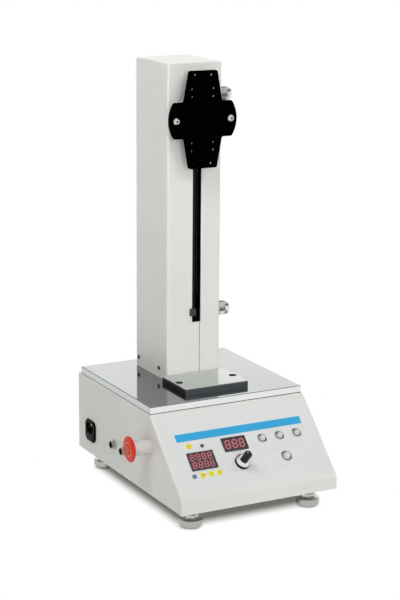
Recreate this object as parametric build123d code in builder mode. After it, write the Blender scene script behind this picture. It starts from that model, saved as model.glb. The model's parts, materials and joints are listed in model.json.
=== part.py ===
"""Motorised single-column force test stand: cabinet, column, screw drive and gauge carriage."""
import os

from build123d import *

os.makedirs("parts", exist_ok=True)

# Frame: floor at z = 0, front faces -Y, +X is the right-hand side seen from the front.
# Pieces are drawn about the cabinet's middle and saved about the middle of the whole footprint.

# Fits and clearances
running = 0.05
seated = 0.02
easy = 0.2
travel_gap = 0.4

# Cabinet of folded sheet with a sloped control panel
cab_w = 237.5
cab_d = 327.0
cab_h = 110.5
lip_h = 18.5
panel_run = 94.0
sheet = 1.5
fold_r = 2.5
floor_gap = 28.0
seat_flange = 18.0
vent_w = 4.0
vent_len = 46.0
vent_pitch = 11.0
vent_count = 7

# Levelling feet
foot_in_x = 28.75
foot_in_y = 29.5
foot_pad_d = 32.5
foot_base_d = 27.0
foot_pad_h = 12.0
foot_flare_h = 4.0
foot_nut_d = 18.0
foot_nut_h = 6.0
foot_stud_d = 10.0
foot_travel = 8.0
foot_boss_d = 20.0
foot_grip = 4.0

# Polished top plate and table plate
plate_t = 10.0
plate_inset = 2.25
plate_back_inset = 7.0
plate_chamfer = 0.8
table_d = 70.5
table_t = 8.5
table_hole_d = 11.0
table_hole_pitch = 84.0
table_hole_in = 6.5
table_hole_from_front = 32.5

# Column of two folded covers with a slot for the gauge arm
col_w = 82.5
col_d = 99.0
col_h = 441.0
col_sheet = 1.5
col_bend = 3.0
col_back_inset = 25.0
slot_w = 13.5
slot_left = -2.5
slot_from_plate = 81.0
slot_len = 344.0
slot_past_seam = 1.5
seam = 0.4
cap_t = 1.5
cap_skirt_t = 1.0
cap_skirt_h = 8.0
cap_edge_r = 1.0
stop_w = 8.5
stop_h = 10.0
stop_t = 4.2
stop_on_cover = 4.0

# Guide rods, lead screw and their blocks
rod_d = 12.0
rod_pitch = 40.0
rod_from_front = 38.0
rod_seat = 18.0
rod_wall = 8.0
screw_d = 14.0
screw_behind_rods = 29.0
journal_d = 10.0
bearing_d = 26.0
bearing_w = 8.0
low_block_h = 28.0
top_block_h = 20.0
top_block_below_cap = 10.0

# Carriage, gauge arm and cross plate
cross_below_top = 73.0
cross_h = 132.0
arm_tip_w = 42.0
arm_foot_w = 57.0
ear_h = 48.5
ear_corner_w = 86.6
ear_w = 102.0
cross_t = 5.0
cross_fillet = 3.0
cross_standoff = 25.2
gauge_hole_d = 4.2
gauge_tip_pitch = 25.0
gauge_tip_in = 6.0
gauge_row_pitch = 32.6
gauge_outer_rows = 83.0
gauge_inner_rows = 62.4
clamp_pitch = 82.6
clamp_d = 6.0
clamp_head_d = 9.5
clamp_head_h = 4.0
clamp_tail = 7.0
arm_t = 8.0
arm_h = 64.0
arm_flange_w = 26.0
arm_flange_h = 56.0
arm_flange_t = 6.0
arm_root_w = 36.0
carriage_w = 66.0
carriage_h = 60.0
carriage_below_mid = 9.5
carriage_front_wall = 4.0
carriage_back_wall = 5.0
carriage_nick = 6.0
bush_d = 21.0
nut_d = 22.0
nut_flange_d = 34.0
nut_flange_t = 7.0

# Limit stops on the column's right-hand side
limit_from_front = 17.5
limit_slot_w = 6.6
limit_slot_from_plate = 40.0
limit_slot_len = 385.0
limit_high_below_top = 45.0
limit_low_from_plate = 92.5
limit_plate_t = 5.0
limit_plate_w = 11.0
limit_plate_h = 30.0
limit_stud_d = 6.0
limit_knob_d = 20.5
limit_knob_len = 17.5
limit_collar_d = 12.0
limit_collar_len = 3.0
limit_knob_flutes = 18
flute_d = 1.6
switch_x = 10.0
switch_y = 9.0
switch_z = 26.0
switch_lever = 1.2

# Drive under the top plate
pulley_d = 32.0
pulley_flange = 2.0
pulley_w = 10.0
pulley_flange_t = 2.0
belt_w = 9.0
belt_t = 2.0
pulley_drop = 6.0
motor_d = 60.0
motor_len = 64.0
motor_edge_r = 4.0
motor_shaft_d = 8.0
motor_shaft_seat = 18.0
bracket_t = 4.0
bracket_w = 84.0
bracket_d = 70.0
bracket_drop = 28.0
bracket_foot = 14.0
supply_y = 96.0
supply_z = 36.0
supply_clear = 10.0

# Control panel, measured from the middle of the slope's upper edge as (x, down the slope)
overlay_side = 7.75
overlay_from_top = 6.0
overlay_to_lip = 7.0
overlay_t = 0.4
lens_proud = 0.7
counter_at = (-68.7, 77.2)
counter_w = 38.6
counter_h = 26.2
speed_at = (-13.4, 60.6)
speed_w = 36.0
speed_h = 20.3
board_depth = 12.0
board_t = 1.6
counter_board_w = 50.0
counter_board_h = 61.0
speed_board_w = 46.0
speed_board_h = 30.0
board_post_d = 4.0
board_post_in = 2.5
lamp_at = (-61.0, 55.9)
lamp_d = 4.8
lamp_proud = 1.0
status_at = (-87.8, 98.3)
status_w = 5.0
key_d = 8.0
key_proud = 1.0
key_flange_d = 10.4
key_flange_t = 1.0
key_stem_d = 4.0
key_travel = 0.5
tact_d = 6.0
tact_h = 3.4
reset_key_at = (-79.7, 53.9)
key_row_at = (-74.8, 97.8)
key_pitch = 12.3
dial_at = (-12.5, 89.0)
dial_ring_d = 21.5
dial_ring_h = 2.4
dial_skirt_d = 20.6
dial_skirt_top_d = 14.5
dial_skirt_h = 7.0
dial_grip_d = 10.6
dial_grip_h = 13.0
dial_flutes = 16
pot_d = 24.0
pot_len = 18.0
pot_bush_d = 9.5
pot_shaft_d = 6.0
button_at = (29.0, 59.5)
button_pitch = 27.0
button_bezel_d = 14.5
button_cap_d = 9.4
power_button_at = (54.5, 91.0)
power_bezel_d = 16.5
power_cap_d = 11.4
bezel_h = 2.2
button_wall = 1.3
button_barrel = 18.0
button_cap_proud = 1.4
button_skirt = 6.0
button_travel = 2.5

# Left-hand side: inlet, sockets and emergency stop
inlet_from_back = 45.0
inlet_up = 35.0
inlet_w = 31.0
inlet_h = 31.0
inlet_bezel_t = 3.0
inlet_corner = 5.0
inlet_body_w = 26.0
inlet_body_h = 27.0
inlet_depth = 21.0
socket_w = 22.0
socket_h = 15.0
socket_depth = 16.0
socket_corner = 4.0
socket_up = 4.5
pin_w = 4.0
pin_t = 2.0
pin_len = 13.0
pin_pitch = 14.0
pin_rise = 4.0
drawer_w = 21.0
drawer_h = 7.0
drawer_len = 19.0
drawer_proud = 0.8
drawer_down = 8.5
jack_from_back = 122.5
jack_up = 37.5
jack_pitch = 32.0
jack_d = 10.5
jack_len = 6.0
jack_bore_d = 7.0
jack_bore_depth = 11.0
jack_nut_d = 12.8
jack_nut_t = 2.0
jack_tail = 14.0
stop_behind_slope = 1.5
stop_below_top = 43.0
collar_d = 21.0
collar_len = 25.6
collar_tail_d = 18.0
collar_tail = 24.0
stem_d = 10.0
stop_head_d = 35.0
stop_face_t = 1.9
stop_cap_d = 17.0
stop_cap_h = 3.9
stop_wall = 1.5
stop_back_h = 3.0
stop_brow_w = 2.0
stop_brow_h = 1.0
stop_overlap = 0.3
stop_travel = 3.0

# Heights and edges that follow from the sizes above
cab_top = floor_gap + cab_h
lip_top = floor_gap + lip_h
cab_front = -cab_d / 2
cab_back = cab_d / 2
slope_top = cab_front + panel_run
slope_len = (panel_run**2 + (cab_h - lip_h) ** 2) ** 0.5
plate_top = cab_top + plate_t
plate_front = slope_top + plate_inset
plate_back = cab_back - plate_back_inset
col_back = plate_back - col_back_inset
col_front = col_back - col_d
col_mid_y = (col_front + col_back) / 2
col_top = plate_top + col_h
slot_right = slot_left + slot_w
seam_x = slot_right - slot_past_seam
rod_y = col_front + rod_from_front
screw_y = rod_y + screw_behind_rods
motor_y = (screw_y + slope_top) / 2
belt_span = screw_y - motor_y
cross_face_y = col_front - cross_standoff
cross_back_y = cross_face_y + cross_t
cross_mid_z = col_top - cross_below_top
carriage_mid_z = cross_mid_z - carriage_below_mid
carriage_low = carriage_mid_z - carriage_h / 2
carriage_front = rod_y - bush_d / 2 - carriage_front_wall
carriage_back = screw_y + nut_d / 2 + carriage_back_wall
top_block_low = col_top - top_block_below_cap - top_block_h
limit_y = col_front + limit_from_front
limit_high_z = col_top - limit_high_below_top
limit_low_z = plate_top + limit_low_from_plate
inner_x = col_w / 2 - col_sheet
pulley_top = cab_top - pulley_drop
pulley_len = pulley_w + 2 * pulley_flange_t
pulley_low = pulley_top - pulley_len
bracket_top = cab_top - bracket_drop + bracket_t
motor_top = bracket_top - bracket_t
inlet_at = (cab_back - inlet_from_back, floor_gap + inlet_up)
jack_at = (cab_back - jack_from_back, floor_gap + jack_up)
stop_at = (slope_top + stop_behind_slope, cab_top - stop_below_top)
rim_low = collar_len - stop_overlap
cup_floor = collar_len + stop_travel + travel_gap
head_top = cup_floor + stop_face_t
footprint_shift = (head_top + stop_cap_h) / 2

panel = Plane(origin=(0, slope_top, cab_top), x_dir=(1, 0, 0), z_dir=(0, lip_h - cab_h, panel_run))
left_side = Plane(origin=(-cab_w / 2, 0, 0), x_dir=(0, -1, 0), z_dir=(-1, 0, 0))


def save(builder, name):
    """Centre a finished piece on the whole footprint, label it and write it to its own file."""
    piece = builder.part.moved(Location((footprint_shift, 0, 0)))
    piece.label = name
    export_step(piece, "parts/" + name + ".step")


def on_panel(spot, lift=0.0):
    """Plane on the sloped panel at (x, down the slope), lifted off the sheet."""
    origin = panel.from_local_coords((spot[0], -spot[1], lift))
    return Plane(origin=origin, x_dir=panel.x_dir, z_dir=panel.z_dir)


def on_left(spot, lift=0.0):
    """Plane on the cabinet's left-hand side at (y, z), lifted off the sheet."""
    origin = left_side.from_local_coords((-spot[0], spot[1], lift))
    return Plane(origin=origin, x_dir=left_side.x_dir, z_dir=left_side.z_dir)


def turn(seat_plane, profile):
    """Revolve a closed (radius, height) outline about the normal of seat_plane."""
    upright = Plane(origin=seat_plane.origin, x_dir=seat_plane.x_dir, z_dir=-seat_plane.y_dir)
    with BuildSketch(upright) as outline:
        with BuildLine():
            Polyline(*profile, close=True)
        make_face()
    revolve(outline.sketch, axis=Axis(seat_plane.origin, seat_plane.z_dir))


def block(x_span, y_span, z_span):
    """Box between pairs of limits."""
    with BuildSketch(Plane.XY.offset(z_span[0])) as footprint:
        with Locations(((x_span[0] + x_span[1]) / 2, (y_span[0] + y_span[1]) / 2)):
            Rectangle(x_span[1] - x_span[0], y_span[1] - y_span[0])
    extrude(footprint.sketch, amount=z_span[1] - z_span[0])


def panel_spot(spot):
    """The panel's own sketch coordinates of (x, down the slope)."""
    return (spot[0], -spot[1])


key_spots = [reset_key_at]
for place in range(3):
    key_spots.append((key_row_at[0] + place * key_pitch, key_row_at[1]))
button_spots = [(button_at[0] + place * button_pitch, button_at[1]) for place in range(3)]
jack_spots = [(jack_at[0] - place * jack_pitch, jack_at[1]) for place in range(2)]
foot_x = cab_w / 2 - foot_in_x
foot_y = cab_d / 2 - foot_in_y
foot_boss_h = foot_travel + foot_grip
button_bore = button_skirt + button_travel + travel_gap
button_barrel_d = button_cap_d + 2 * button_wall
power_barrel_d = power_cap_d + 2 * button_wall


def panel_openings(slack):
    """Cut-outs shared by the cabinet's slope and the overlay on it."""
    with Locations(panel_spot(counter_at)):
        Rectangle(counter_w + 2 * slack, counter_h + 2 * slack)
    with Locations(panel_spot(speed_at)):
        Rectangle(speed_w + 2 * slack, speed_h + 2 * slack)
    with Locations(panel_spot(status_at)):
        Rectangle(status_w + 2 * slack, status_w + 2 * slack)
    with Locations(panel_spot(lamp_at)):
        Circle(lamp_d / 2 + slack)
    with Locations(*[panel_spot(spot) for spot in key_spots]):
        Circle(key_d / 2 + slack)
    with Locations(*[panel_spot(spot) for spot in button_spots]):
        Circle(button_barrel_d / 2 + slack)
    with Locations(panel_spot(power_button_at)):
        Circle(power_barrel_d / 2 + slack)
    with Locations(panel_spot(dial_at)):
        Circle(pot_bush_d / 2 + slack)


# Cabinet
with BuildPart() as base_cabinet:
    with BuildSketch(Plane.YZ):
        with BuildLine():
            Polyline(
                (cab_back, floor_gap),
                (cab_back, cab_top),
                (slope_top, cab_top),
                (cab_front, lip_top),
                (cab_front, floor_gap),
                close=True,
            )
        make_face()
    extrude(amount=cab_w / 2, both=True)
    folds = base_cabinet.edges().filter_by(lambda edge: edge.center().Z > floor_gap + sheet)
    fillet(folds, radius=fold_r)
    offset(amount=-sheet, openings=base_cabinet.faces().sort_by(Axis.Z)[0])
    with BuildSketch(Plane.XY.offset(cab_top)):
        with Locations((0, (slope_top + cab_back) / 2)):
            Rectangle(cab_w - 2 * seat_flange, cab_back - slope_top - 2 * seat_flange)
    extrude(amount=-2 * sheet, mode=Mode.SUBTRACT)
    with BuildSketch(panel):
        panel_openings(easy)
    extrude(amount=2 * sheet, both=True, mode=Mode.SUBTRACT)
    with BuildSketch(left_side):
        with Locations((-inlet_at[0], inlet_at[1])):
            Rectangle(inlet_body_w + 2 * easy, inlet_body_h + 2 * easy)
        with Locations(*[(-spot[0], spot[1]) for spot in jack_spots]):
            Circle(jack_d / 2 + easy)
        with Locations((-stop_at[0], stop_at[1])):
            Circle(collar_tail_d / 2 + easy)
    extrude(amount=2 * sheet, both=True, mode=Mode.SUBTRACT)
save(base_cabinet, "base_cabinet")

# Bottom cover with vents and bosses for the feet
with BuildPart() as base_bottom_plate:
    with BuildSketch(Plane.XY.offset(floor_gap)):
        RectangleRounded(cab_w - 2 * sheet - 2 * easy, cab_d - 2 * sheet - 2 * easy, fold_r)
    extrude(amount=sheet)
    with BuildSketch(Plane.XY.offset(floor_gap)):
        with GridLocations(vent_pitch, 1, vent_count, 1):
            SlotOverall(vent_len, vent_w, rotation=90)
    extrude(amount=2 * sheet, mode=Mode.SUBTRACT)
    with BuildSketch(Plane.XY.offset(floor_gap + sheet)):
        with GridLocations(2 * foot_x, 2 * foot_y, 2, 2):
            Circle(foot_boss_d / 2)
    extrude(amount=foot_boss_h)
    with BuildSketch(Plane.XY.offset(floor_gap)):
        with GridLocations(2 * foot_x, 2 * foot_y, 2, 2):
            Circle(foot_stud_d / 2 + running)
    extrude(amount=sheet + foot_boss_h, mode=Mode.SUBTRACT)
save(base_bottom_plate, "base_bottom_plate")

# Levelling feet: flared pad, lock nut and stud turned as one
foot_top = floor_gap + sheet + foot_boss_h
foot_names = {(-1, -1): "foot_front_left", (1, -1): "foot_front_right"}
foot_names.update({(-1, 1): "foot_rear_left", (1, 1): "foot_rear_right"})
for (side, end), foot_name in foot_names.items():
    with BuildPart() as foot:
        turn(
            Plane(origin=(side * foot_x, end * foot_y, 0)),
            [
                (0, 0),
                (foot_base_d / 2, 0),
                (foot_pad_d / 2, foot_flare_h),
                (foot_pad_d / 2, foot_pad_h - plate_chamfer),
                (foot_pad_d / 2 - plate_chamfer, foot_pad_h),
                (foot_nut_d / 2, foot_pad_h),
                (foot_nut_d / 2, foot_pad_h + foot_nut_h),
                (foot_stud_d / 2, foot_pad_h + foot_nut_h),
                (foot_stud_d / 2, foot_top),
                (0, foot_top),
            ],
        )
    save(foot, foot_name)

# Top plate
with BuildPart() as top_plate:
    block(
        (-cab_w / 2 + plate_inset, cab_w / 2 - plate_inset),
        (plate_front, plate_back),
        (cab_top, plate_top),
    )
    chamfer(top_plate.faces().sort_by(Axis.Z)[-1].edges(), plate_chamfer)
    with Locations((0, screw_y, plate_top)):
        Hole(screw_d / 2, depth=plate_t)
save(top_plate, "top_plate")

# Table plate in front of the column, with two threaded holes
table_front = col_front - table_d
table_w = table_hole_pitch + 2 * table_hole_in
with BuildPart() as table_plate:
    block((-table_w / 2, table_w / 2), (table_front, col_front), (plate_top, plate_top + table_t))
    chamfer(table_plate.faces().sort_by(Axis.Z)[-1].edges(), plate_chamfer)
    with Locations((0, table_front + table_hole_from_front, plate_top + table_t)):
        with GridLocations(table_hole_pitch, 1, 2, 1):
            Hole(table_hole_d / 2, depth=table_t)
save(table_plate, "table_plate")

# Control overlay
with BuildPart() as control_overlay:
    with BuildSketch(panel):
        with Locations((0, -(overlay_from_top + slope_len - overlay_to_lip) / 2)):
            Rectangle(cab_w - 2 * overlay_side, slope_len - overlay_from_top - overlay_to_lip)
    extrude(amount=overlay_t)
    with BuildSketch(panel):
        panel_openings(easy)
    extrude(amount=overlay_t, mode=Mode.SUBTRACT)
save(control_overlay, "control_overlay")


def display(name, spot, width, height):
    """Display module: a tinted window standing a little proud, on its circuit board."""
    with BuildPart() as window:
        with BuildSketch(on_panel(spot, -board_depth)):
            Rectangle(width, height)
        extrude(amount=board_depth + overlay_t + lens_proud)
    save(window, name)


display("counter_display", counter_at, counter_w, counter_h)
display("speed_display", speed_at, speed_w, speed_h)

# Circuit boards behind the panel, on posts, with the key switches
with BuildPart() as display_boards:
    boards = [(counter_at, counter_board_w, counter_board_h), (speed_at, speed_board_w, speed_board_h)]
    for spot, width, height in boards:
        with BuildSketch(on_panel(spot, -board_depth - board_t)):
            Rectangle(width, height)
        extrude(amount=board_t)
        with BuildSketch(on_panel(spot, -board_depth)):
            with GridLocations(width - 2 * board_post_in, height - 2 * board_post_in, 2, 2):
                Circle(board_post_d / 2)
        extrude(amount=board_depth - sheet)
    with BuildSketch(panel.offset(-board_depth)):
        with Locations(*[panel_spot(spot) for spot in key_spots]):
            Circle(tact_d / 2)
    extrude(amount=tact_h)
save(display_boards, "display_boards")

# Indicator lamps standing on the counter's board
with BuildPart() as panel_lamps:
    with BuildSketch(on_panel(lamp_at, -board_depth)):
        Circle(lamp_d / 2)
    extrude(amount=board_depth + overlay_t + lamp_proud)
    with BuildSketch(on_panel(status_at, -board_depth)):
        Rectangle(status_w, status_w)
    extrude(amount=board_depth + overlay_t + lamp_proud)
save(panel_lamps, "panel_lamps")

# Round keys held behind the sheet by a flange
key_back = -sheet - travel_gap / 2
key_names = ["reset_key", "set_key", "up_key", "shift_key"]
for key_name, spot in zip(key_names, key_spots):
    with BuildPart() as key:
        turn(
            on_panel(spot),
            [
                (0, tact_h - board_depth + key_travel + travel_gap),
                (key_stem_d / 2, tact_h - board_depth + key_travel + travel_gap),
                (key_stem_d / 2, key_back - key_flange_t),
                (key_flange_d / 2, key_back - key_flange_t),
                (key_flange_d / 2, key_back),
                (key_d / 2, key_back),
                (key_d / 2, overlay_t + key_proud - key_travel),
                (key_d / 2 - key_travel, overlay_t + key_proud),
                (0, overlay_t + key_proud),
            ],
        )
    save(key, key_name)


def housing_profile(bezel_d, cap_d):
    """Bezel, barrel and blind bore of a metal push button."""
    barrel_r = cap_d / 2 + button_wall
    bore_r = cap_d / 2 + running
    return [
        (0, -button_barrel),
        (barrel_r, -button_barrel),
        (barrel_r, overlay_t),
        (bezel_d / 2, overlay_t),
        (bezel_d / 2, overlay_t + bezel_h / 2),
        (barrel_r, overlay_t + bezel_h),
        (bore_r, overlay_t + bezel_h),
        (bore_r, overlay_t + bezel_h - button_bore),
        (0, overlay_t + bezel_h - button_bore),
    ]


def cap_profile(cap_d):
    """Moving cap with a slightly domed face."""
    face = overlay_t + bezel_h + button_cap_proud
    return [
        (0, overlay_t + bezel_h - button_skirt),
        (cap_d / 2, overlay_t + bezel_h - button_skirt),
        (cap_d / 2, face - button_cap_proud / 2),
        (cap_d / 3, face - button_cap_proud / 6),
        (0, face),
    ]


buttons = [("up_button", button_spots[0], button_bezel_d, button_cap_d)]
buttons.append(("stop_button", button_spots[1], button_bezel_d, button_cap_d))
buttons.append(("down_button", button_spots[2], button_bezel_d, button_cap_d))
buttons.append(("power_button", power_button_at, power_bezel_d, power_cap_d))
with BuildPart() as button_housings:
    for button_name, spot, bezel_d, cap_d in buttons:
        turn(on_panel(spot), housing_profile(bezel_d, cap_d))
save(button_housings, "button_housings")
for button_name, spot, bezel_d, cap_d in buttons:
    with BuildPart() as button:
        turn(on_panel(spot), cap_profile(cap_d))
    save(button, button_name)

# Speed dial: potentiometer, fixed ring, bright skirt and fluted grip
skirt_low = overlay_t + dial_ring_h + travel_gap
skirt_top = skirt_low + dial_skirt_h
grip_top = skirt_top + dial_grip_h
with BuildPart() as dial_pot:
    turn(
        on_panel(dial_at),
        [
            (0, -sheet - pot_len),
            (pot_d / 2, -sheet - pot_len),
            (pot_d / 2, -sheet),
            (pot_bush_d / 2, -sheet),
            (pot_bush_d / 2, overlay_t + dial_ring_h),
            (pot_shaft_d / 2, overlay_t + dial_ring_h),
            (pot_shaft_d / 2, skirt_top),
            (0, skirt_top),
        ],
    )
save(dial_pot, "dial_pot")
with BuildPart() as dial_ring:
    turn(
        on_panel(dial_at, overlay_t),
        [
            (pot_bush_d / 2 + seated, 0),
            (dial_ring_d / 2, 0),
            (dial_ring_d / 2, dial_ring_h),
            (pot_bush_d / 2 + seated, dial_ring_h),
        ],
    )
save(dial_ring, "dial_ring")
with BuildPart() as dial_skirt:
    turn(
        on_panel(dial_at, skirt_low),
        [
            (pot_shaft_d / 2 + running, 0),
            (dial_skirt_d / 2, 0),
            (dial_skirt_d / 2, dial_skirt_h / 3),
            (dial_skirt_top_d / 2, dial_skirt_h),
            (pot_shaft_d / 2 + running, dial_skirt_h),
        ],
    )
save(dial_skirt, "dial_skirt")
with BuildPart() as dial_grip:
    with BuildSketch(on_panel(dial_at, skirt_top + travel_gap / 4)):
        Circle(dial_grip_d / 2)
        with PolarLocations(dial_grip_d / 2, dial_flutes):
            Circle(flute_d / 3, mode=Mode.SUBTRACT)
    extrude(amount=grip_top - skirt_top)
save(dial_grip, "dial_grip")

# Power inlet with its socket, pins and fuse drawer
with BuildPart() as power_inlet:
    with BuildSketch(on_left(inlet_at)) as bezel_outline:
        Rectangle(inlet_w, inlet_h)
        chamfer(bezel_outline.vertices(), inlet_corner)
    extrude(amount=inlet_bezel_t)
    chamfer(power_inlet.faces().sort_by(Axis.X)[0].edges(), inlet_bezel_t / 4)
    with BuildSketch(on_left(inlet_at)):
        Rectangle(inlet_body_w, inlet_body_h)
    extrude(amount=-inlet_depth)
    with BuildSketch(on_left((inlet_at[0], inlet_at[1] + socket_up), inlet_bezel_t)) as socket_outline:
        Rectangle(socket_w, socket_h)
        chamfer(socket_outline.vertices().group_by(Axis.Z)[-1], socket_corner)
    extrude(amount=-socket_depth, mode=Mode.SUBTRACT)
    with BuildSketch(on_left((inlet_at[0], inlet_at[1] - drawer_down), inlet_bezel_t)):
        Rectangle(drawer_w + 2 * easy, drawer_h + 2 * easy)
    extrude(amount=-drawer_len - easy, mode=Mode.SUBTRACT)
save(power_inlet, "power_inlet")
socket_floor = on_left((inlet_at[0], inlet_at[1] + socket_up), inlet_bezel_t - socket_depth)
with BuildPart() as inlet_pins:
    with BuildSketch(socket_floor):
        with Locations((-pin_pitch / 2, 0), (pin_pitch / 2, 0), (0, pin_rise)):
            Rectangle(pin_t, pin_w)
    extrude(amount=pin_len)
save(inlet_pins, "inlet_pins")
with BuildPart() as fuse_drawer:
    with BuildSketch(on_left((inlet_at[0], inlet_at[1] - drawer_down), inlet_bezel_t - drawer_len)):
        Rectangle(drawer_w, drawer_h)
    extrude(amount=drawer_len + drawer_proud)
save(fuse_drawer, "fuse_drawer")

# Two round signal sockets
with BuildPart() as signal_sockets:
    for spot in jack_spots:
        turn(
            on_left(spot),
            [
                (0, -jack_tail),
                (jack_d / 2, -jack_tail),
                (jack_d / 2, 0),
                (jack_nut_d / 2, 0),
                (jack_nut_d / 2, jack_nut_t),
                (jack_d / 2, jack_nut_t),
                (jack_d / 2, jack_len),
                (jack_bore_d / 2, jack_len),
                (jack_bore_d / 2, jack_len - jack_bore_depth),
                (0, jack_len - jack_bore_depth),
            ],
        )
save(signal_sockets, "signal_sockets")

# Emergency stop: collar, sprung stem and twist-release mushroom head
with BuildPart() as estop_collar:
    turn(
        on_left(stop_at),
        [
            (stem_d / 2 + running, -collar_tail),
            (collar_tail_d / 2, -collar_tail),
            (collar_tail_d / 2, 0),
            (collar_d / 2, 0),
            (collar_d / 2, collar_len),
            (stem_d / 2 + running, collar_len),
        ],
    )
save(estop_collar, "estop_collar")
with BuildPart() as estop_stem:
    turn(
        on_left(stop_at),
        [
            (0, -collar_tail),
            (stem_d / 2, -collar_tail),
            (stem_d / 2, cup_floor),
            (0, cup_floor),
        ],
    )
save(estop_stem, "estop_stem")
with BuildPart() as estop_head:
    turn(
        on_left(stop_at),
        [
            (collar_d / 2 + travel_gap, rim_low),
            (collar_d / 2 + travel_gap + stop_wall, rim_low),
            (stop_head_d / 2, rim_low + stop_back_h),
            (stop_head_d / 2, head_top - stop_brow_h),
            (stop_head_d / 2 - stop_brow_w, head_top),
            (stop_cap_d / 2, head_top),
            (stop_cap_d / 2, head_top + stop_cap_h - stop_brow_h),
            (stop_cap_d / 2 - stop_brow_h, head_top + stop_cap_h),
            (0, head_top + stop_cap_h),
            (0, cup_floor + running),
            (collar_d / 2 + travel_gap, cup_floor + running),
        ],
    )
save(estop_head, "estop_head")


# Column covers: one folded tube parted near the slot's right-hand edge
def column_ring():
    """Plan of the folded column, a thin rounded rectangle."""
    with Locations((0, col_mid_y)):
        RectangleRounded(col_w, col_d, col_bend)
        RectangleRounded(
            col_w - 2 * col_sheet,
            col_d - 2 * col_sheet,
            col_bend - col_sheet,
            mode=Mode.SUBTRACT,
        )


def cut_arm_slot():
    """Slot for the gauge arm through the column's front wall."""
    with BuildSketch(Plane.XY.offset(plate_top + slot_from_plate)) as slot:
        with Locations((slot_left, col_front + col_sheet / 2)):
            Rectangle(slot_w, 2 * col_sheet, align=(Align.MIN, Align.CENTER))
    extrude(slot.sketch, amount=slot_len, mode=Mode.SUBTRACT)


with BuildPart() as column_left_cover:
    with BuildSketch(Plane.XY.offset(plate_top)):
        column_ring()
        with Locations((seam_x - seam / 2, col_mid_y)):
            Rectangle(2 * col_w, 2 * col_d, align=(Align.MIN, Align.CENTER), mode=Mode.SUBTRACT)
    extrude(amount=col_h)
    cut_arm_slot()
save(column_left_cover, "column_left_cover")
with BuildPart() as column_right_cover:
    with BuildSketch(Plane.XY.offset(plate_top)):
        column_ring()
        with Locations((seam_x + seam / 2, col_mid_y)):
            Rectangle(2 * col_w, 2 * col_d, align=(Align.MAX, Align.CENTER), mode=Mode.SUBTRACT)
    extrude(amount=col_h)
    cut_arm_slot()
    with BuildSketch(Plane.YZ.offset(inner_x)):
        with Locations((limit_y, plate_top + limit_slot_from_plate + limit_slot_len / 2)):
            SlotOverall(limit_slot_len, limit_slot_w, rotation=90)
    extrude(amount=2 * col_sheet, mode=Mode.SUBTRACT)
save(column_right_cover, "column_right_cover")

# Flush lid on the column, located by a short skirt inside the covers
skirt_w = col_w - 2 * col_sheet - 2 * easy
skirt_d = col_d - 2 * col_sheet - 2 * easy
with BuildPart() as column_cap:
    with BuildSketch(Plane.XY.offset(col_top)):
        with Locations((0, col_mid_y)):
            RectangleRounded(col_w, col_d, col_bend)
    extrude(amount=cap_t)
    fillet(column_cap.faces().sort_by(Axis.Z)[-1].edges(), cap_edge_r)
    with BuildSketch(Plane.XY.offset(col_top)):
        with Locations((0, col_mid_y)):
            RectangleRounded(skirt_w, skirt_d, col_bend - col_sheet)
            Rectangle(skirt_w - 2 * cap_skirt_t, skirt_d - 2 * cap_skirt_t, mode=Mode.SUBTRACT)
    extrude(amount=-cap_skirt_h)
save(column_cap, "column_cap")

# Travel stop screwed to the left cover beside the slot
stop_low = plate_top + slot_from_plate + stop_h
with BuildPart() as travel_stop:
    block(
        (slot_left - stop_on_cover, slot_left - stop_on_cover + stop_w),
        (col_front - stop_t, col_front),
        (stop_low, stop_low + stop_h),
    )
    fillet(travel_stop.edges().filter_by(Axis.Z).group_by(Axis.Y)[0], stop_t / 4)
save(travel_stop, "travel_stop")


def bearing_block(low, height, front, mouth_up):
    """Block across the column that holds the rods and one screw bearing."""
    mouth = low + height if mouth_up else low
    inward = -1 if mouth_up else 1
    back = col_back - col_sheet - easy / 2
    with BuildSketch(Plane.XY.offset(low)) as outline:
        with Locations((0, (front + back) / 2)):
            RectangleRounded(2 * inner_x - easy, back - front, col_bend)
    extrude(outline.sketch, amount=height)
    with BuildSketch(Plane.XY.offset(mouth)) as rod_holes:
        with Locations((-rod_pitch / 2, rod_y), (rod_pitch / 2, rod_y)):
            Circle(rod_d / 2 + seated)
    extrude(rod_holes.sketch, amount=inward * rod_seat, mode=Mode.SUBTRACT)
    with BuildSketch(Plane.XY.offset(mouth)) as bearing_seat:
        with Locations((0, screw_y)):
            Circle(bearing_d / 2 + seated)
    extrude(bearing_seat.sketch, amount=inward * bearing_w, mode=Mode.SUBTRACT)
    with BuildSketch(Plane.XY.offset(mouth)) as screw_hole:
        with Locations((0, screw_y)):
            Circle(screw_d / 2)
    extrude(screw_hole.sketch, amount=inward * height, mode=Mode.SUBTRACT)


low_block_top = plate_top + low_block_h
with BuildPart() as lower_bearing_block:
    bearing_block(plate_top, low_block_h, col_front + col_sheet + easy / 2, True)
save(lower_bearing_block, "lower_bearing_block")
with BuildPart() as upper_bearing_block:
    bearing_block(top_block_low, top_block_h, rod_y - rod_d / 2 - rod_wall, False)
save(upper_bearing_block, "upper_bearing_block")

# Guide rods
with BuildPart() as guide_rods:
    with BuildSketch(Plane.XY.offset(low_block_top - rod_seat)):
        with Locations((-rod_pitch / 2, rod_y), (rod_pitch / 2, rod_y)):
            Circle(rod_d / 2)
    extrude(amount=top_block_low - low_block_top + 2 * rod_seat)
save(guide_rods, "guide_rods")

# Bearings of the lead screw
with BuildPart() as screw_bearings:
    for bearing_low in (low_block_top - bearing_w, top_block_low):
        turn(
            Plane(origin=(0, screw_y, bearing_low)),
            [
                (journal_d / 2 + running, 0),
                (bearing_d / 2, 0),
                (bearing_d / 2, bearing_w),
                (journal_d / 2 + running, bearing_w),
            ],
        )
save(screw_bearings, "screw_bearings")

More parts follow.
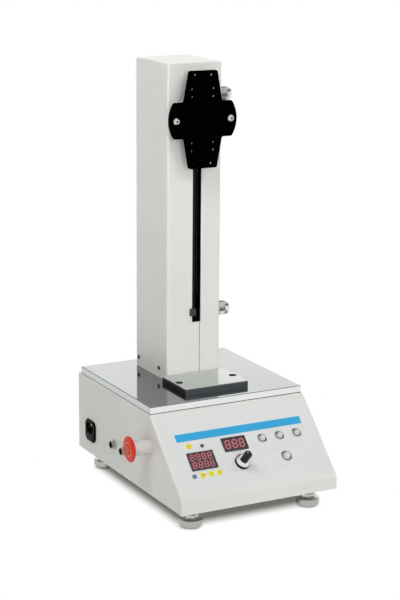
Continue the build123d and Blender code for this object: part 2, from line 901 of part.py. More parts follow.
# Lead screw from the pulley under the plate to the upper bearing
with BuildPart() as lead_screw:
    turn(
        Plane(origin=(0, screw_y, 0)),
        [
            (0, pulley_low),
            (journal_d / 2, pulley_low),
            (journal_d / 2, low_block_top + travel_gap),
            (screw_d / 2, low_block_top + travel_gap),
            (screw_d / 2, top_block_low - travel_gap),
            (journal_d / 2, top_block_low - travel_gap),
            (journal_d / 2, top_block_low + bearing_w),
            (0, top_block_low + bearing_w),
        ],
    )
save(lead_screw, "lead_screw")


def pulley_profile(bore_r):
    """Flanged belt pulley, measured up from its lower face."""
    flange_r = pulley_d / 2 + pulley_flange
    return [
        (bore_r, 0),
        (flange_r, 0),
        (flange_r, pulley_flange_t),
        (pulley_d / 2, pulley_flange_t),
        (pulley_d / 2, pulley_flange_t + pulley_w),
        (flange_r, pulley_flange_t + pulley_w),
        (flange_r, pulley_len),
        (bore_r, pulley_len),
    ]


with BuildPart() as screw_pulley:
    turn(Plane(origin=(0, screw_y, pulley_low)), pulley_profile(journal_d / 2 + seated))
save(screw_pulley, "screw_pulley")

# Motor with its bracket under the top plate, drive pulley and belt
with BuildPart() as motor_pulley:
    turn(Plane(origin=(0, motor_y, pulley_low)), pulley_profile(0))
    with BuildSketch(Plane.XY.offset(motor_top - motor_shaft_seat)):
        with Locations((0, motor_y)):
            Circle(motor_shaft_d / 2)
    extrude(amount=pulley_low - motor_top + motor_shaft_seat)
save(motor_pulley, "motor_pulley")
with BuildPart() as drive_motor:
    with BuildSketch(Plane.XY.offset(motor_top - motor_len)):
        with Locations((0, motor_y)):
            Circle(motor_d / 2)
    extrude(amount=motor_len)
    fillet(drive_motor.edges().group_by(Axis.Z)[0], motor_edge_r)
    with Locations((0, motor_y, motor_top)):
        Hole(motor_shaft_d / 2 + running, depth=motor_shaft_seat + travel_gap)
save(drive_motor, "drive_motor")
with BuildPart() as motor_bracket:
    with BuildSketch(Plane.XZ.offset(-motor_y)):
        with BuildLine():
            Polyline(
                (-bracket_w / 2 - bracket_foot, cab_top),
                (-bracket_w / 2 - bracket_foot, cab_top - bracket_t),
                (-bracket_w / 2, cab_top - bracket_t),
                (-bracket_w / 2, motor_top),
                (bracket_w / 2, motor_top),
                (bracket_w / 2, cab_top - bracket_t),
                (bracket_w / 2 + bracket_foot, cab_top - bracket_t),
                (bracket_w / 2 + bracket_foot, cab_top),
                (bracket_w / 2 - bracket_t, cab_top),
                (bracket_w / 2 - bracket_t, bracket_top),
                (bracket_t - bracket_w / 2, bracket_top),
                (bracket_t - bracket_w / 2, cab_top),
                close=True,
            )
        make_face()
    extrude(amount=bracket_d / 2, both=True)
    with Locations((0, motor_y, bracket_top)):
        Hole(motor_shaft_d / 2 + travel_gap, depth=bracket_t)
save(motor_bracket, "motor_bracket")
with BuildPart() as drive_belt:
    belt_r = pulley_d / 2 + travel_gap
    belt_low = pulley_low + pulley_flange_t + (pulley_w - belt_w) / 2
    with BuildSketch(Plane.XY.offset(belt_low)):
        with Locations((0, (screw_y + motor_y) / 2)):
            SlotCenterToCenter(belt_span, 2 * belt_r + 2 * belt_t, rotation=90)
            SlotCenterToCenter(belt_span, 2 * belt_r, rotation=90, mode=Mode.SUBTRACT)
    extrude(amount=belt_w)
save(drive_belt, "drive_belt")

# Power supply on the bottom cover, between the motor, the right-hand wall and a foot's boss
supply_back = foot_y - foot_boss_d / 2 - supply_clear
with BuildPart() as power_supply:
    block(
        (motor_d / 2 + supply_clear, cab_w / 2 - sheet - supply_clear),
        (supply_back - supply_y, supply_back),
        (floor_gap + sheet, floor_gap + sheet + supply_z),
    )
    chamfer(power_supply.faces().sort_by(Axis.Z)[-1].edges(), sheet)
save(power_supply, "power_supply")

# Carriage block on two bushings and a flanged nut
with BuildPart() as carriage_block:
    block(
        (-carriage_w / 2, carriage_w / 2),
        (carriage_front, carriage_back),
        (carriage_low, carriage_low + carriage_h),
    )
    chamfer(carriage_block.edges().filter_by(Axis.Z).group_by(Axis.Y)[-1], carriage_nick)
    with Locations((0, 0, carriage_low + carriage_h)):
        with Locations((-rod_pitch / 2, rod_y), (rod_pitch / 2, rod_y)):
            Hole(bush_d / 2 + seated, depth=carriage_h)
        with Locations((0, screw_y)):
            Hole(nut_d / 2 + seated, depth=carriage_h)
save(carriage_block, "carriage_block")
with BuildPart() as carriage_bushings:
    for side in (-1, 1):
        turn(
            Plane(origin=(side * rod_pitch / 2, rod_y, carriage_low)),
            [
                (rod_d / 2 + running, 0),
                (bush_d / 2, 0),
                (bush_d / 2, carriage_h),
                (rod_d / 2 + running, carriage_h),
            ],
        )
save(carriage_bushings, "carriage_bushings")
with BuildPart() as lead_nut:
    turn(
        Plane(origin=(0, screw_y, carriage_low)),
        [
            (screw_d / 2 + running, -nut_flange_t),
            (nut_flange_d / 2, -nut_flange_t),
            (nut_flange_d / 2, 0),
            (nut_d / 2, 0),
            (nut_d / 2, carriage_h / 2),
            (screw_d / 2 + running, carriage_h / 2),
        ],
    )
save(lead_nut, "lead_nut")

# Gauge arm: web through the slot, with a flange at each end
arm_mid_x = slot_left + slot_w / 2
switch_face_x = inner_x - travel_gap - limit_plate_t - switch_x - switch_lever
with BuildPart() as gauge_arm:
    block(
        (arm_mid_x - arm_t / 2, arm_mid_x + arm_t / 2),
        (cross_back_y, carriage_front),
        (cross_mid_z - arm_h / 2, cross_mid_z + arm_h / 2),
    )
    block(
        (-arm_flange_w / 2, arm_flange_w / 2),
        (cross_back_y, cross_back_y + arm_flange_t),
        (cross_mid_z - arm_flange_h / 2, cross_mid_z + arm_flange_h / 2),
    )
    block(
        (-arm_root_w / 2, switch_face_x - travel_gap),
        (carriage_front - arm_flange_t, carriage_front),
        (cross_mid_z - arm_h / 2, carriage_low + carriage_h),
    )
save(gauge_arm, "gauge_arm")

# Cross plate that a force gauge bolts to
gauge_grids = [
    (gauge_tip_pitch, cross_h - 2 * gauge_tip_in),
    (gauge_row_pitch, gauge_outer_rows),
    (gauge_row_pitch, gauge_inner_rows),
]
cross_face = Plane(origin=(0, cross_face_y, cross_mid_z), x_dir=(1, 0, 0), z_dir=(0, -1, 0))
with BuildPart() as cross_plate:
    with BuildSketch(cross_face) as cross_outline:
        with BuildLine():
            for side in (-1, 1):
                ear_tip = (side * ear_w / 2, 0)
                ear_high = (side * ear_corner_w / 2, ear_h / 2)
                ear_low = (side * ear_corner_w / 2, -ear_h / 2)
                Polyline((side * arm_tip_w / 2, cross_h / 2), (side * arm_foot_w / 2, ear_h / 2), ear_high)
                ThreePointArc(ear_high, ear_tip, ear_low)
                Polyline(ear_low, (side * arm_foot_w / 2, -ear_h / 2), (side * arm_tip_w / 2, -cross_h / 2))
            for end in (-1, 1):
                Line((-arm_tip_w / 2, end * cross_h / 2), (arm_tip_w / 2, end * cross_h / 2))
        make_face()
        fillet(cross_outline.vertices(), cross_fillet)
        for across, upright in gauge_grids:
            with GridLocations(across, upright, 2, 2):
                Circle(gauge_hole_d / 2, mode=Mode.SUBTRACT)
        with GridLocations(clamp_pitch, 1, 2, 1):
            Circle(clamp_d / 2 + seated, mode=Mode.SUBTRACT)
    extrude(amount=-cross_t)
save(cross_plate, "cross_plate")

# Clamp screws through the ears
with BuildPart() as clamp_screws:
    for side in (-1, 1):
        turn(
            Plane(
                origin=(side * clamp_pitch / 2, cross_face_y, cross_mid_z),
                x_dir=cross_face.x_dir,
                z_dir=cross_face.z_dir,
            ),
            [
                (0, -cross_t - clamp_tail),
                (clamp_d / 2, -cross_t - clamp_tail),
                (clamp_d / 2, 0),
                (clamp_head_d / 2, 0),
                (clamp_head_d / 2, clamp_head_h / 2),
                (clamp_head_d / 3, clamp_head_h),
                (0, clamp_head_h),
            ],
        )
save(clamp_screws, "clamp_screws")


# Limit stops: slider with stud, switch and knurled knob
def limit_stop(name, height):
    """One adjustable stop whose stud rides in the right cover's slot."""
    slider_face = inner_x - travel_gap
    knob_low = col_w / 2 + travel_gap
    stud_end = knob_low + limit_collar_len + limit_knob_len
    knob_seat = Plane(origin=(knob_low, limit_y, height), x_dir=(0, 1, 0), z_dir=(1, 0, 0))
    with BuildPart() as slider:
        block(
            (slider_face - limit_plate_t, slider_face),
            (limit_y - limit_plate_w / 2, limit_y + limit_plate_w / 2),
            (height - limit_plate_h / 2, height + limit_plate_h / 2),
        )
        with BuildSketch(Plane(origin=(slider_face, limit_y, height), x_dir=(0, 1, 0), z_dir=(1, 0, 0))):
            Circle(limit_stud_d / 2)
        extrude(amount=stud_end - slider_face)
    save(slider, name + "_slider")
    with BuildPart() as switch:
        block(
            (slider_face - limit_plate_t - switch_x, slider_face - limit_plate_t),
            (limit_y - switch_y / 2, limit_y + switch_y / 2),
            (height - switch_z / 2, height + switch_z / 2),
        )
        block(
            (switch_face_x, switch_face_x + switch_lever),
            (limit_y - switch_y / 4, limit_y + switch_y / 4),
            (height - switch_z / 3, height + switch_z / 3),
        )
    save(switch, name + "_switch")
    with BuildPart() as knob:
        with BuildSketch(knob_seat):
            Circle(limit_collar_d / 2)
        extrude(amount=limit_collar_len)
        with BuildSketch(knob_seat.offset(limit_collar_len)):
            Circle(limit_knob_d / 2)
            with PolarLocations(limit_knob_d / 2, limit_knob_flutes):
                Circle(flute_d / 2, mode=Mode.SUBTRACT)
        extrude(amount=limit_knob_len)
        with BuildSketch(knob_seat):
            Circle(limit_stud_d / 2 + running)
        extrude(amount=limit_collar_len + limit_knob_len, mode=Mode.SUBTRACT)
    save(knob, name + "_knob")


limit_stop("upper_limit", limit_high_z)
limit_stop("lower_limit", limit_low_z)
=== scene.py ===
import json
import math

import bmesh
import bpy
from mathutils import Matrix, Vector


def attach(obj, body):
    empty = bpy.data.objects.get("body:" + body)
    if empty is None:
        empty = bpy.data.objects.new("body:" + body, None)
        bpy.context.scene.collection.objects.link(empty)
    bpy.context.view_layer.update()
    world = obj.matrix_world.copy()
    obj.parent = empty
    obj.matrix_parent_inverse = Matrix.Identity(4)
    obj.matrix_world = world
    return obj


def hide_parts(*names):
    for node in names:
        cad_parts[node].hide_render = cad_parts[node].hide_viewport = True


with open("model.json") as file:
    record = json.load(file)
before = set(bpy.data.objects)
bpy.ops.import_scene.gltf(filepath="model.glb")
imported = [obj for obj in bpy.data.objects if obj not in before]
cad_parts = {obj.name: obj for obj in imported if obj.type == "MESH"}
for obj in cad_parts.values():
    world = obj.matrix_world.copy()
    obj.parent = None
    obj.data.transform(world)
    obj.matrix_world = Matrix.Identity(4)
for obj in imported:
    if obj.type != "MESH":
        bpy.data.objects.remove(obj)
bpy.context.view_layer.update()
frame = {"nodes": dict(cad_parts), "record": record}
nodes = frame["nodes"]
scene = bpy.context.scene

# Places in the shared frame in metres, and two on the cabinet's left side and panel in mm
MM = 0.001
MID = 0.0174
HALF_CABINET_W = 0.11875
HALF_CABINET_D = 0.1635
CABINET_FOOT = 0.028
CABINET_TOP = 0.1385
SLOPE_TOP_Y = -0.0695
PLATE_TOP = 0.1485
TABLE_HOLE_Y = -0.0055
HALF_COLUMN_W = 0.04125
COLUMN_BACK = 0.1315
KNOB_OUT = 0.04165
LIMIT_Y = 0.050
SCREW_Y = 0.0995
FOOT_X = 0.090
FOOT_Y = 0.134
STOP_Y, STOP_Z = -68.0, 95.5
DIAL_X, DIAL_DOWN, DIAL_TOP = -12.5, 89.0, 23.3


# Colour and node helpers
def lin(r, g, b):
    """Linear colour from 0-255 display values."""
    out = []
    for v in (r, g, b):
        v = v / 255.0
        out.append(v / 12.92 if v <= 0.04045 else ((v + 0.055) / 1.055) ** 2.4)
    return (out[0], out[1], out[2], 1.0)


def scaled(colour, k):
    return (min(1.0, colour[0] * k), min(1.0, colour[1] * k), min(1.0, colour[2] * k), 1.0)


class Shade:
    """A principled material with short calls for the nodes that feed it."""

    def __init__(self, name):
        self.mat = bpy.data.materials.new(name)
        self.mat.use_nodes = True
        self.tree = self.mat.node_tree
        self.bsdf = self.tree.nodes["Principled BSDF"]
        self.where = self.tree.nodes.new("ShaderNodeTexCoord").outputs["Object"]

    def set(self, **values):
        for key, value in values.items():
            self.bsdf.inputs[key.replace("_", " ")].default_value = value
        return self

    def node(self, kind, **settings):
        made = self.tree.nodes.new(kind)
        for key, value in settings.items():
            setattr(made, key, value)
        return made

    def link(self, a, b):
        self.tree.links.new(a, b)

    def stretched(self, sx, sy, sz):
        m = self.node("ShaderNodeMapping")
        m.inputs["Scale"].default_value = (sx, sy, sz)
        self.link(self.where, m.inputs["Vector"])
        return m.outputs["Vector"]

    def noise(self, scale, detail=3.0, rough=0.55, vector=None):
        n = self.node("ShaderNodeTexNoise")
        n.inputs["Scale"].default_value = scale
        n.inputs["Detail"].default_value = detail
        n.inputs["Roughness"].default_value = rough
        self.link(vector or self.where, n.inputs["Vector"])
        return n.outputs["Fac"]

    def cells(self, scale, feature="F1"):
        n = self.node("ShaderNodeTexVoronoi", feature=feature)
        n.inputs["Scale"].default_value = scale
        self.link(self.where, n.inputs["Vector"])
        return n.outputs["Distance"]

    def span(self, value, a, b, c, d, smooth=False):
        n = self.node("ShaderNodeMapRange")
        if smooth:
            n.interpolation_type = "SMOOTHSTEP"
        for key, v in zip(("From Min", "From Max", "To Min", "To Max"), (a, b, c, d)):
            n.inputs[key].default_value = v
        self.link(value, n.inputs["Value"])
        return n.outputs["Result"]

    def math(self, op, a, b):
        n = self.node("ShaderNodeMath", operation=op)
        for i, v in enumerate((a, b)):
            if isinstance(v, (int, float)):
                n.inputs[i].default_value = v
            else:
                self.link(v, n.inputs[i])
        return n.outputs[0]

    def length(self, a, b):
        """Length of the flat vector with sides a and b."""
        square = self.math("ADD", self.math("MULTIPLY", a, a), self.math("MULTIPLY", b, b))
        return self.math("SQRT", square, 0.0)

    def axis(self, name, source=None):
        n = self.node("ShaderNodeSeparateXYZ")
        self.link(source or self.where, n.inputs[0])
        return n.outputs[name]

    def facing(self):
        return self.node("ShaderNodeNewGeometry").outputs["Normal"]

    def leaning(self, way):
        """How far the surface faces along a fixed direction, from -1 to 1."""
        n = self.node("ShaderNodeVectorMath", operation="DOT_PRODUCT")
        self.link(self.facing(), n.inputs[0])
        n.inputs[1].default_value = way
        return n.outputs["Value"]

    def within(self, value, low, high, soft):
        """1 from low to high, fading to 0 over soft on either side."""
        rise = self.span(value, low - soft, low, 0.0, 1.0)
        return self.math("MULTIPLY", rise, self.span(value, high, high + soft, 1.0, 0.0))

    def mix(self, fac, a, b):
        n = self.node("ShaderNodeMix", data_type="RGBA")
        self.link(fac, n.inputs["Factor"])
        for key, v in (("A", a), ("B", b)):
            sockets = [s for s in n.inputs if s.name == key and s.type == "RGBA"]
            if isinstance(v, tuple):
                sockets[0].default_value = v
            else:
                self.link(v, sockets[0])
        return [s for s in n.outputs if s.type == "RGBA"][0]

    def colour(self, value):
        self.link(value, self.bsdf.inputs["Base Color"])
        return self

    def rough(self, value):
        self.link(value, self.bsdf.inputs["Roughness"])
        return self

    def bump(self, *layers):
        """Each layer is (height, distance in metres, strength)."""
        normal = None
        for height, distance, strength in layers:
            n = self.node("ShaderNodeBump")
            n.inputs["Distance"].default_value = distance
            n.inputs["Strength"].default_value = strength
            self.link(height, n.inputs["Height"])
            if normal is not None:
                self.link(normal, n.inputs["Normal"])
            normal = n.outputs["Normal"]
        self.link(normal, self.bsdf.inputs["Normal"])
        return self


# Materials
def powder_coat(name, base, inside_shade=None, gloss=0.45, seam=None):
    """Satin powder coat with fine orange peel; an optional box is painted near-black inside as shade, and an
    optional seam paints a dark line of shade on the edges where two covers meet.
    """
    s = Shade(name)
    mottle = s.noise(9.0, 4.0)
    speck = s.noise(420.0, 2.0)
    tone = s.mix(s.span(mottle, 0.35, 0.65, 0, 1), scaled(base, 0.965), scaled(base, 1.02))
    tone = s.mix(s.span(speck, 0.3, 0.7, 0.0, 0.25), tone, scaled(base, 0.93))
    if inside_shade:
        low, high = inside_shade
        inside = None
        for key, a, b in zip("XYZ", low, high):
            pos = s.axis(key)
            part = s.math("MULTIPLY", s.math("GREATER_THAN", pos, a), s.math("LESS_THAN", pos, b))
            inside = part if inside is None else s.math("MULTIPLY", inside, part)
        # Painted shade: near-black inside the box
        tone = s.mix(inside, tone, (0.012, 0.012, 0.013, 1.0))
    if seam:
        middle, half, depth, top = seam
        line = s.within(s.axis("X"), middle - half, middle + half, half / 4)
        line = s.math("MULTIPLY", line, s.math("LESS_THAN", s.axis("Y"), depth))
        line = s.math("MULTIPLY", line, s.math("LESS_THAN", s.axis("Z"), top))
        # Painted shade along the seam's gap
        tone = s.mix(line, tone, lin(40, 40, 39))
    s.colour(tone)
    s.rough(s.span(s.noise(60.0, 3.0), 0.3, 0.7, 0.36, 0.47))
    s.bump((s.noise(1100.0, 2.0), 0.00004, 0.35), (s.noise(240.0, 2.0), 0.00006, 0.12))
    s.set(Specular_IOR_Level=gloss)
    return s.mat


PANEL_OUT = (0.0, -0.699465, 0.714671)
PANEL_LOW_LEFT = (-0.7071, -0.5053, -0.4946)


def ground_metal(name, base, rough_low, rough_high, grain, streak=0.06, depth=0.00001, dark_reflection=None):
    """Bare metal with fine grinding lines; an optional last argument paints dark reflections on the bends
    that lean a way from low to high.
    """
    s = Shade(name)
    lines = s.noise(1.0, 3.0, 0.6, s.stretched(*grain))
    cloud = s.noise(14.0, 3.0)
    tone = s.mix(s.span(lines, 0.3, 0.7, 0, 1), scaled(base, 1.0 - streak), scaled(base, 1.0 + streak))
    tone = s.mix(s.span(cloud, 0.35, 0.7, 0.0, 0.3), tone, scaled(base, 0.9))
    if dark_reflection:
        way, low, high, clear, dark = dark_reflection
        # Painted reflection: dark arcs on the bends, cleared on those that lean the clear way
        shade = s.within(s.leaning(way), low, high, 0.06)
        if clear:
            shade = s.math("MULTIPLY", shade, s.span(s.leaning(clear), -0.05, 0.3, 1.0, 0.1))
        tone = s.mix(shade, tone, lin(dark, dark, dark + 2))
    s.colour(tone)
    s.rough(s.span(s.math("ADD", lines, s.math("MULTIPLY", cloud, 0.5)), 0.45, 1.05, rough_low, rough_high))
    s.bump((lines, depth, 0.5))
    s.set(Metallic=1.0)
    return s.mat


def table_metal():
    """Polished upper face and edges, blackened sides with faint grinding lines; the left end is painted
    near-black as shade, bare of metal and gloss, with a light score line.
    """
    s = Shade("table_steel")
    up = s.axis("Z", s.facing())
    bright = s.span(up, 0.35, 0.6, 0.0, 1.0, True)
    lines = s.noise(1.0, 3.0, 0.6, s.stretched(12.0, 800.0, 800.0))
    side = s.mix(s.span(lines, 0.3, 0.7, 0, 1), lin(92, 99, 102), lin(106, 113, 116))
    # Painted shade: the left-facing end near-black
    end = s.span(s.axis("X", s.facing()), -0.9, -0.6, 1.0, 0.0)
    black = s.mix(s.span(lines, 0.3, 0.7, 0, 1), lin(9, 6, 6), lin(24, 18, 17))
    rise = s.axis("Z")
    score_low, score_high = 0.1538, 0.1545
    score = s.math("GREATER_THAN", rise, score_low)
    score = s.math("MULTIPLY", score, s.math("LESS_THAN", rise, score_high))
    side = s.mix(end, side, s.mix(score, black, lin(112, 106, 102)))
    top = s.mix(s.span(lines, 0.3, 0.7, 0, 1), lin(176, 180, 176), lin(186, 190, 186))
    s.colour(s.mix(bright, side, top))
    bare = s.span(end, 0, 1, 1.0, 0.0)
    s.link(s.math("MULTIPLY", s.span(bright, 0, 1, 1.0, 0.15), bare), s.bsdf.inputs["Metallic"])
    s.link(s.span(bare, 0, 1, 0.05, 0.5), s.bsdf.inputs["Specular IOR Level"])
    s.rough(s.math("ADD", s.span(bright, 0, 1, 0.33, 0.09), s.span(lines, 0.3, 0.7, -0.02, 0.03)))
    s.bump((lines, 0.000008, 0.4))
    return s.mat


def mirror_plate():
    """Ground and polished plate: quiet upper face, edges in a brighter copy of the steel as painted
    reflection, left edges and chamfers painted darker as reflection, and a painted shadow line at its foot.
    """
    s = Shade("polished_steel")
    up = s.span(s.axis("Z", s.facing()), 0.9, 0.97, 0.0, 1.0)
    lines = s.noise(1.0, 3.0, 0.6, s.stretched(1400.0, 10.0, 10.0))
    cloud = s.noise(7.0, 3.0)
    # Painted reflection: edges a brighter copy of the steel than the upper face
    edge = s.mix(s.span(lines, 0.3, 0.7, 0, 1), lin(226, 228, 228), lin(231, 233, 233))
    # Painted reflection: left-facing edges darker
    left = s.span(s.axis("X", s.facing()), -0.9, -0.6, 1.0, 0.0)
    edge = s.mix(left, edge, lin(192, 197, 195))
    top = s.mix(s.span(lines, 0.3, 0.7, 0, 1), lin(138, 139, 140), lin(146, 147, 148))
    top = s.mix(s.span(cloud, 0.35, 0.7, 0.0, 0.5), top, lin(134, 135, 136))
    # Painted reflection: chamfers dark
    tilt = s.axis("Z", s.facing())
    chamfer = s.math("MULTIPLY", s.math("GREATER_THAN", tilt, 0.3), s.math("LESS_THAN", tilt, 0.9))
    edge = s.mix(chamfer, edge, lin(120, 123, 123))
    shadow_top = 0.1394
    foot = s.math("LESS_THAN", s.axis("Z"), shadow_top)
    s.colour(s.mix(foot, s.mix(up, edge, top), lin(58, 58, 57)))
    s.rough(s.math("ADD", s.span(lines, 0.3, 0.7, 0.06, 0.1), s.span(cloud, 0.3, 0.7, -0.01, 0.02)))
    s.bump((lines, 0.000004, 0.5))
    s.set(Metallic=1.0)
    return s.mat


def dial_metal():
    """Spun dial skirt: bright metal cone above a dark, non-metal wall, split by the way the faces lean."""
    s = Shade("dial_bright")
    bright = s.span(s.leaning(PANEL_OUT), 0.2, 0.4, 0.0, 1.0)
    lines = s.noise(1.0, 3.0, 0.6, s.stretched(900.0, 900.0, 40.0))
    cone = s.mix(s.span(lines, 0.3, 0.7, 0, 1), lin(216, 216, 216), lin(228, 228, 228))
    s.colour(s.mix(bright, lin(20, 21, 21), cone))
    s.link(bright, s.bsdf.inputs["Metallic"])
    s.rough(s.span(lines, 0.3, 0.7, 0.08, 0.16))
    s.bump((lines, 0.000006, 0.5))
    s.set(Specular_IOR_Level=0.1)
    return s.mat


def plastic(name, base, rough, grain=900.0, depth=0.00003, coat=0.0, vary=0.06, gloss=0.5):
    """Moulded plastic with a spark-eroded grain."""
    s = Shade(name)
    cloud = s.noise(45.0, 3.0)
    fine = s.noise(grain, 2.0)
    s.colour(s.mix(s.span(cloud, 0.3, 0.7, 0, 1), scaled(base, 1.0 - vary), scaled(base, 1.0 + vary)))
    s.rough(s.span(fine, 0.3, 0.7, rough - 0.05, rough + 0.06))
    s.bump((fine, depth, 0.35))
    s.set(Coat_Weight=coat, Coat_Roughness=0.08, Specular_IOR_Level=gloss)
    return s.mat


def stop_plastic():
    """Red stop head: the cap painted a paler, duller red than the brow, as sheen."""
    s = Shade("stop_red")
    off_y = s.math("SUBTRACT", s.axis("Y"), STOP_Y * MM)
    off_z = s.math("SUBTRACT", s.axis("Z"), STOP_Z * MM)
    reach = s.length(off_y, off_z)
    cloud = s.noise(45.0, 3.0)
    brow = s.mix(s.span(cloud, 0.3, 0.7, 0, 1), lin(216, 36, 24), lin(226, 42, 28))
    # Painted sheen: the cap paler than the brow
    cap = s.mix(s.span(cloud, 0.3, 0.7, 0, 1), lin(188, 74, 52), lin(200, 84, 60))
    s.colour(s.mix(s.span(reach, 0.0086, 0.009, 0, 1), cap, brow))
    fine = s.noise(500.0, 2.0)
    s.rough(s.span(fine, 0.3, 0.7, 0.36, 0.46))
    s.bump((fine, 0.00003, 0.35))
    s.set(Specular_IOR_Level=0.3)
    return s.mat


def overlay_sheet():
    """Printed label sheet: pale satin film with a faint pebble."""
    s = Shade("overlay")
    cloud = s.noise(12.0, 3.0)
    pebble = s.cells(1500.0)
    base = lin(220, 222, 220)
    s.colour(s.mix(s.span(cloud, 0.3, 0.7, 0, 1), scaled(base, 0.98), scaled(base, 1.015)))
    s.rough(s.span(pebble, 0.0, 0.7, 0.34, 0.44))
    s.bump((pebble, 0.00002, 0.3))
    return s.mat


def display_face():
    """Dark red tinted window, faintly uneven."""
    s = Shade("display_window")
    cloud = s.noise(70.0, 2.0)
    s.colour(s.mix(s.span(cloud, 0.3, 0.7, 0, 1), lin(46, 26, 31), lin(58, 34, 39)))
    s.rough(s.span(s.noise(300.0, 2.0), 0.3, 0.7, 0.1, 0.17))
    s.bump((s.noise(160.0, 2.0), 0.00002, 0.15))
    s.set(Coat_Weight=0.3, Coat_Roughness=0.05)
    return s.mat


def lit_segment():
    """Red display segments that glow faintly."""
    s = Shade("segment_red")
    cloud = s.noise(380.0, 2.0)
    tone = s.mix(s.span(cloud, 0.3, 0.7, 0, 1), lin(180, 90, 102), lin(200, 114, 124))
    s.colour(tone)
    s.link(tone, s.bsdf.inputs["Emission Color"])
    s.rough(s.span(cloud, 0.3, 0.7, 0.3, 0.4))
    s.set(Emission_Strength=0.14)
    return s.mat


def printed(name, base, rough=0.4):
    """Screen-printed ink with a slight unevenness."""
    s = Shade(name)
    cloud = s.noise(30.0, 3.0)
    fine = s.noise(1200.0, 2.0)
    s.colour(s.mix(s.span(cloud, 0.3, 0.7, 0, 1), scaled(base, 0.95), scaled(base, 1.05)))
    s.rough(s.span(fine, 0.3, 0.7, rough - 0.04, rough + 0.05))
    s.bump((fine, 0.00001, 0.2))
    return s.mat


def circuit():
    s = Shade("circuit_board")
    tracks = s.cells(260.0, feature="DISTANCE_TO_EDGE")
    s.colour(s.mix(s.span(tracks, 0.02, 0.08, 0, 1), lin(40, 120, 70), lin(18, 74, 40)))
    s.rough(s.span(s.noise(300.0), 0.3, 0.7, 0.35, 0.5))
    s.bump((tracks, 0.00005, 0.3))
    return s.mat


def rubber_belt():
    s = Shade("belt_rubber")
    fine = s.noise(700.0, 3.0)
    s.colour(s.mix(s.span(fine, 0.3, 0.7, 0, 1), (0.012, 0.012, 0.012, 1), (0.03, 0.03, 0.03, 1)))
    s.rough(s.span(fine, 0.3, 0.7, 0.65, 0.8))
    s.bump((fine, 0.00008, 0.5))
    return s.mat


# The column's hollow as two corners, painted near-black as shade, and its front seam as middle, half width,
# depth and top, painted dark as shade in its gap
column_hollow_shade = ((MID - 0.0399, 0.0338, 0.1), (MID + 0.0399, 0.1302, 0.5896))
cover_seam_shade = (MID + 0.0095, 0.00031, 0.0345, 0.2296)
# Dark arcs painted as reflection on the buttons and knobs
button_reflection_arcs = (PANEL_OUT, 0.4, 0.95, PANEL_LOW_LEFT, 62)
knob_reflection_arcs = ((0.0, 0.0, 1.0), 0.4, 0.66, None, 122)
even_grain = (600.0, 600.0, 600.0)
M = {
    "cabinet_paint": powder_coat("cabinet_paint", lin(224, 224, 219)),
    "column_paint": powder_coat("column_paint", lin(226, 227, 222), column_hollow_shade, seam=cover_seam_shade),
    "polished_steel": mirror_plate(),
    "table_steel": table_metal(),
    "overlay": overlay_sheet(),
    "display_window": display_face(),
    "circuit_board": circuit(),
    "lamp": plastic("lamp", lin(44, 46, 52), 0.2, coat=0.5),
    "key_yellow": plastic("key_yellow", lin(240, 228, 40), 0.32, coat=0.3),
    "button_metal": ground_metal(
        "button_metal", lin(232, 232, 232), 0.05, 0.1, even_grain, 0.03, dark_reflection=button_reflection_arcs
    ),
    "dial_black": plastic("dial_black", lin(20, 20, 21), 0.38, vary=0.2, gloss=0.3),
    "dial_bright": dial_metal(),
    "inlet_black": plastic("inlet_black", lin(9, 9, 9), 0.3, vary=0.2, gloss=0.03),
    "drawer_grey": plastic("drawer_grey", lin(34, 34, 35), 0.45, vary=0.12, gloss=0.1),
    "contact_brass": ground_metal("contact_brass", lin(214, 196, 150), 0.18, 0.3, (60.0, 900.0, 900.0)),
    "socket_metal": ground_metal("socket_metal", lin(176, 176, 170), 0.08, 0.18, (900.0, 60.0, 60.0)),
    "stop_red": stop_plastic(),
    "collar_grey": plastic("collar_grey", lin(206, 206, 202), 0.16, coat=0.6, vary=0.03),
    "plate_black": powder_coat("plate_black", lin(2, 2, 2), gloss=0.0),
    "bright_screw": ground_metal("bright_screw", lin(206, 205, 202), 0.16, 0.3, (500.0, 40.0, 500.0)),
    "knurled": ground_metal("knurled", lin(226, 226, 223), 0.1, 0.2, (40.0, 500.0, 500.0), dark_reflection=knob_reflection_arcs),
    "machined_aluminium": ground_metal(
        "machined_aluminium", lin(190, 192, 194), 0.24, 0.4, (20.0, 20.0, 700.0)
    ),
    "ground_steel": ground_metal("ground_steel", lin(176, 178, 180), 0.14, 0.28, (60.0, 60.0, 900.0)),
    "nut_bronze": ground_metal("nut_bronze", lin(196, 158, 100), 0.25, 0.4, (60.0, 60.0, 600.0)),
    "motor_black": powder_coat("motor_black", lin(38, 38, 40)),
    "supply_case": ground_metal("supply_case", lin(186, 188, 190), 0.26, 0.42, (20.0, 500.0, 20.0)),
    "belt_rubber": rubber_belt(),
    "foot_metal": ground_metal("foot_metal", lin(178, 179, 175), 0.22, 0.34, (40.0, 40.0, 900.0)),
    "stop_block": plastic("stop_block", lin(44, 44, 46), 0.5, vary=0.15),
}
blue_ink = printed("blue_ink", lin(44, 163, 214), 0.36)
grey_ink = printed("grey_ink", lin(196, 198, 202), 0.4)
dark_ink = printed("dark_ink", lin(58, 56, 48), 0.45)
# A pale ring round the base of the stop cap
pale_ring = printed("pale_ring", lin(240, 222, 170), 0.4)
segment_red = lit_segment()
dark_bezel = plastic("dark_bezel", lin(40, 34, 36), 0.34, vary=0.1)
dark_screw = ground_metal("dark_screw", lin(74, 72, 68), 0.26, 0.42, (500.0, 500.0, 60.0))
foot_nut = ground_metal("foot_nut", lin(196, 196, 194), 0.06, 0.14, (40.0, 40.0, 900.0))
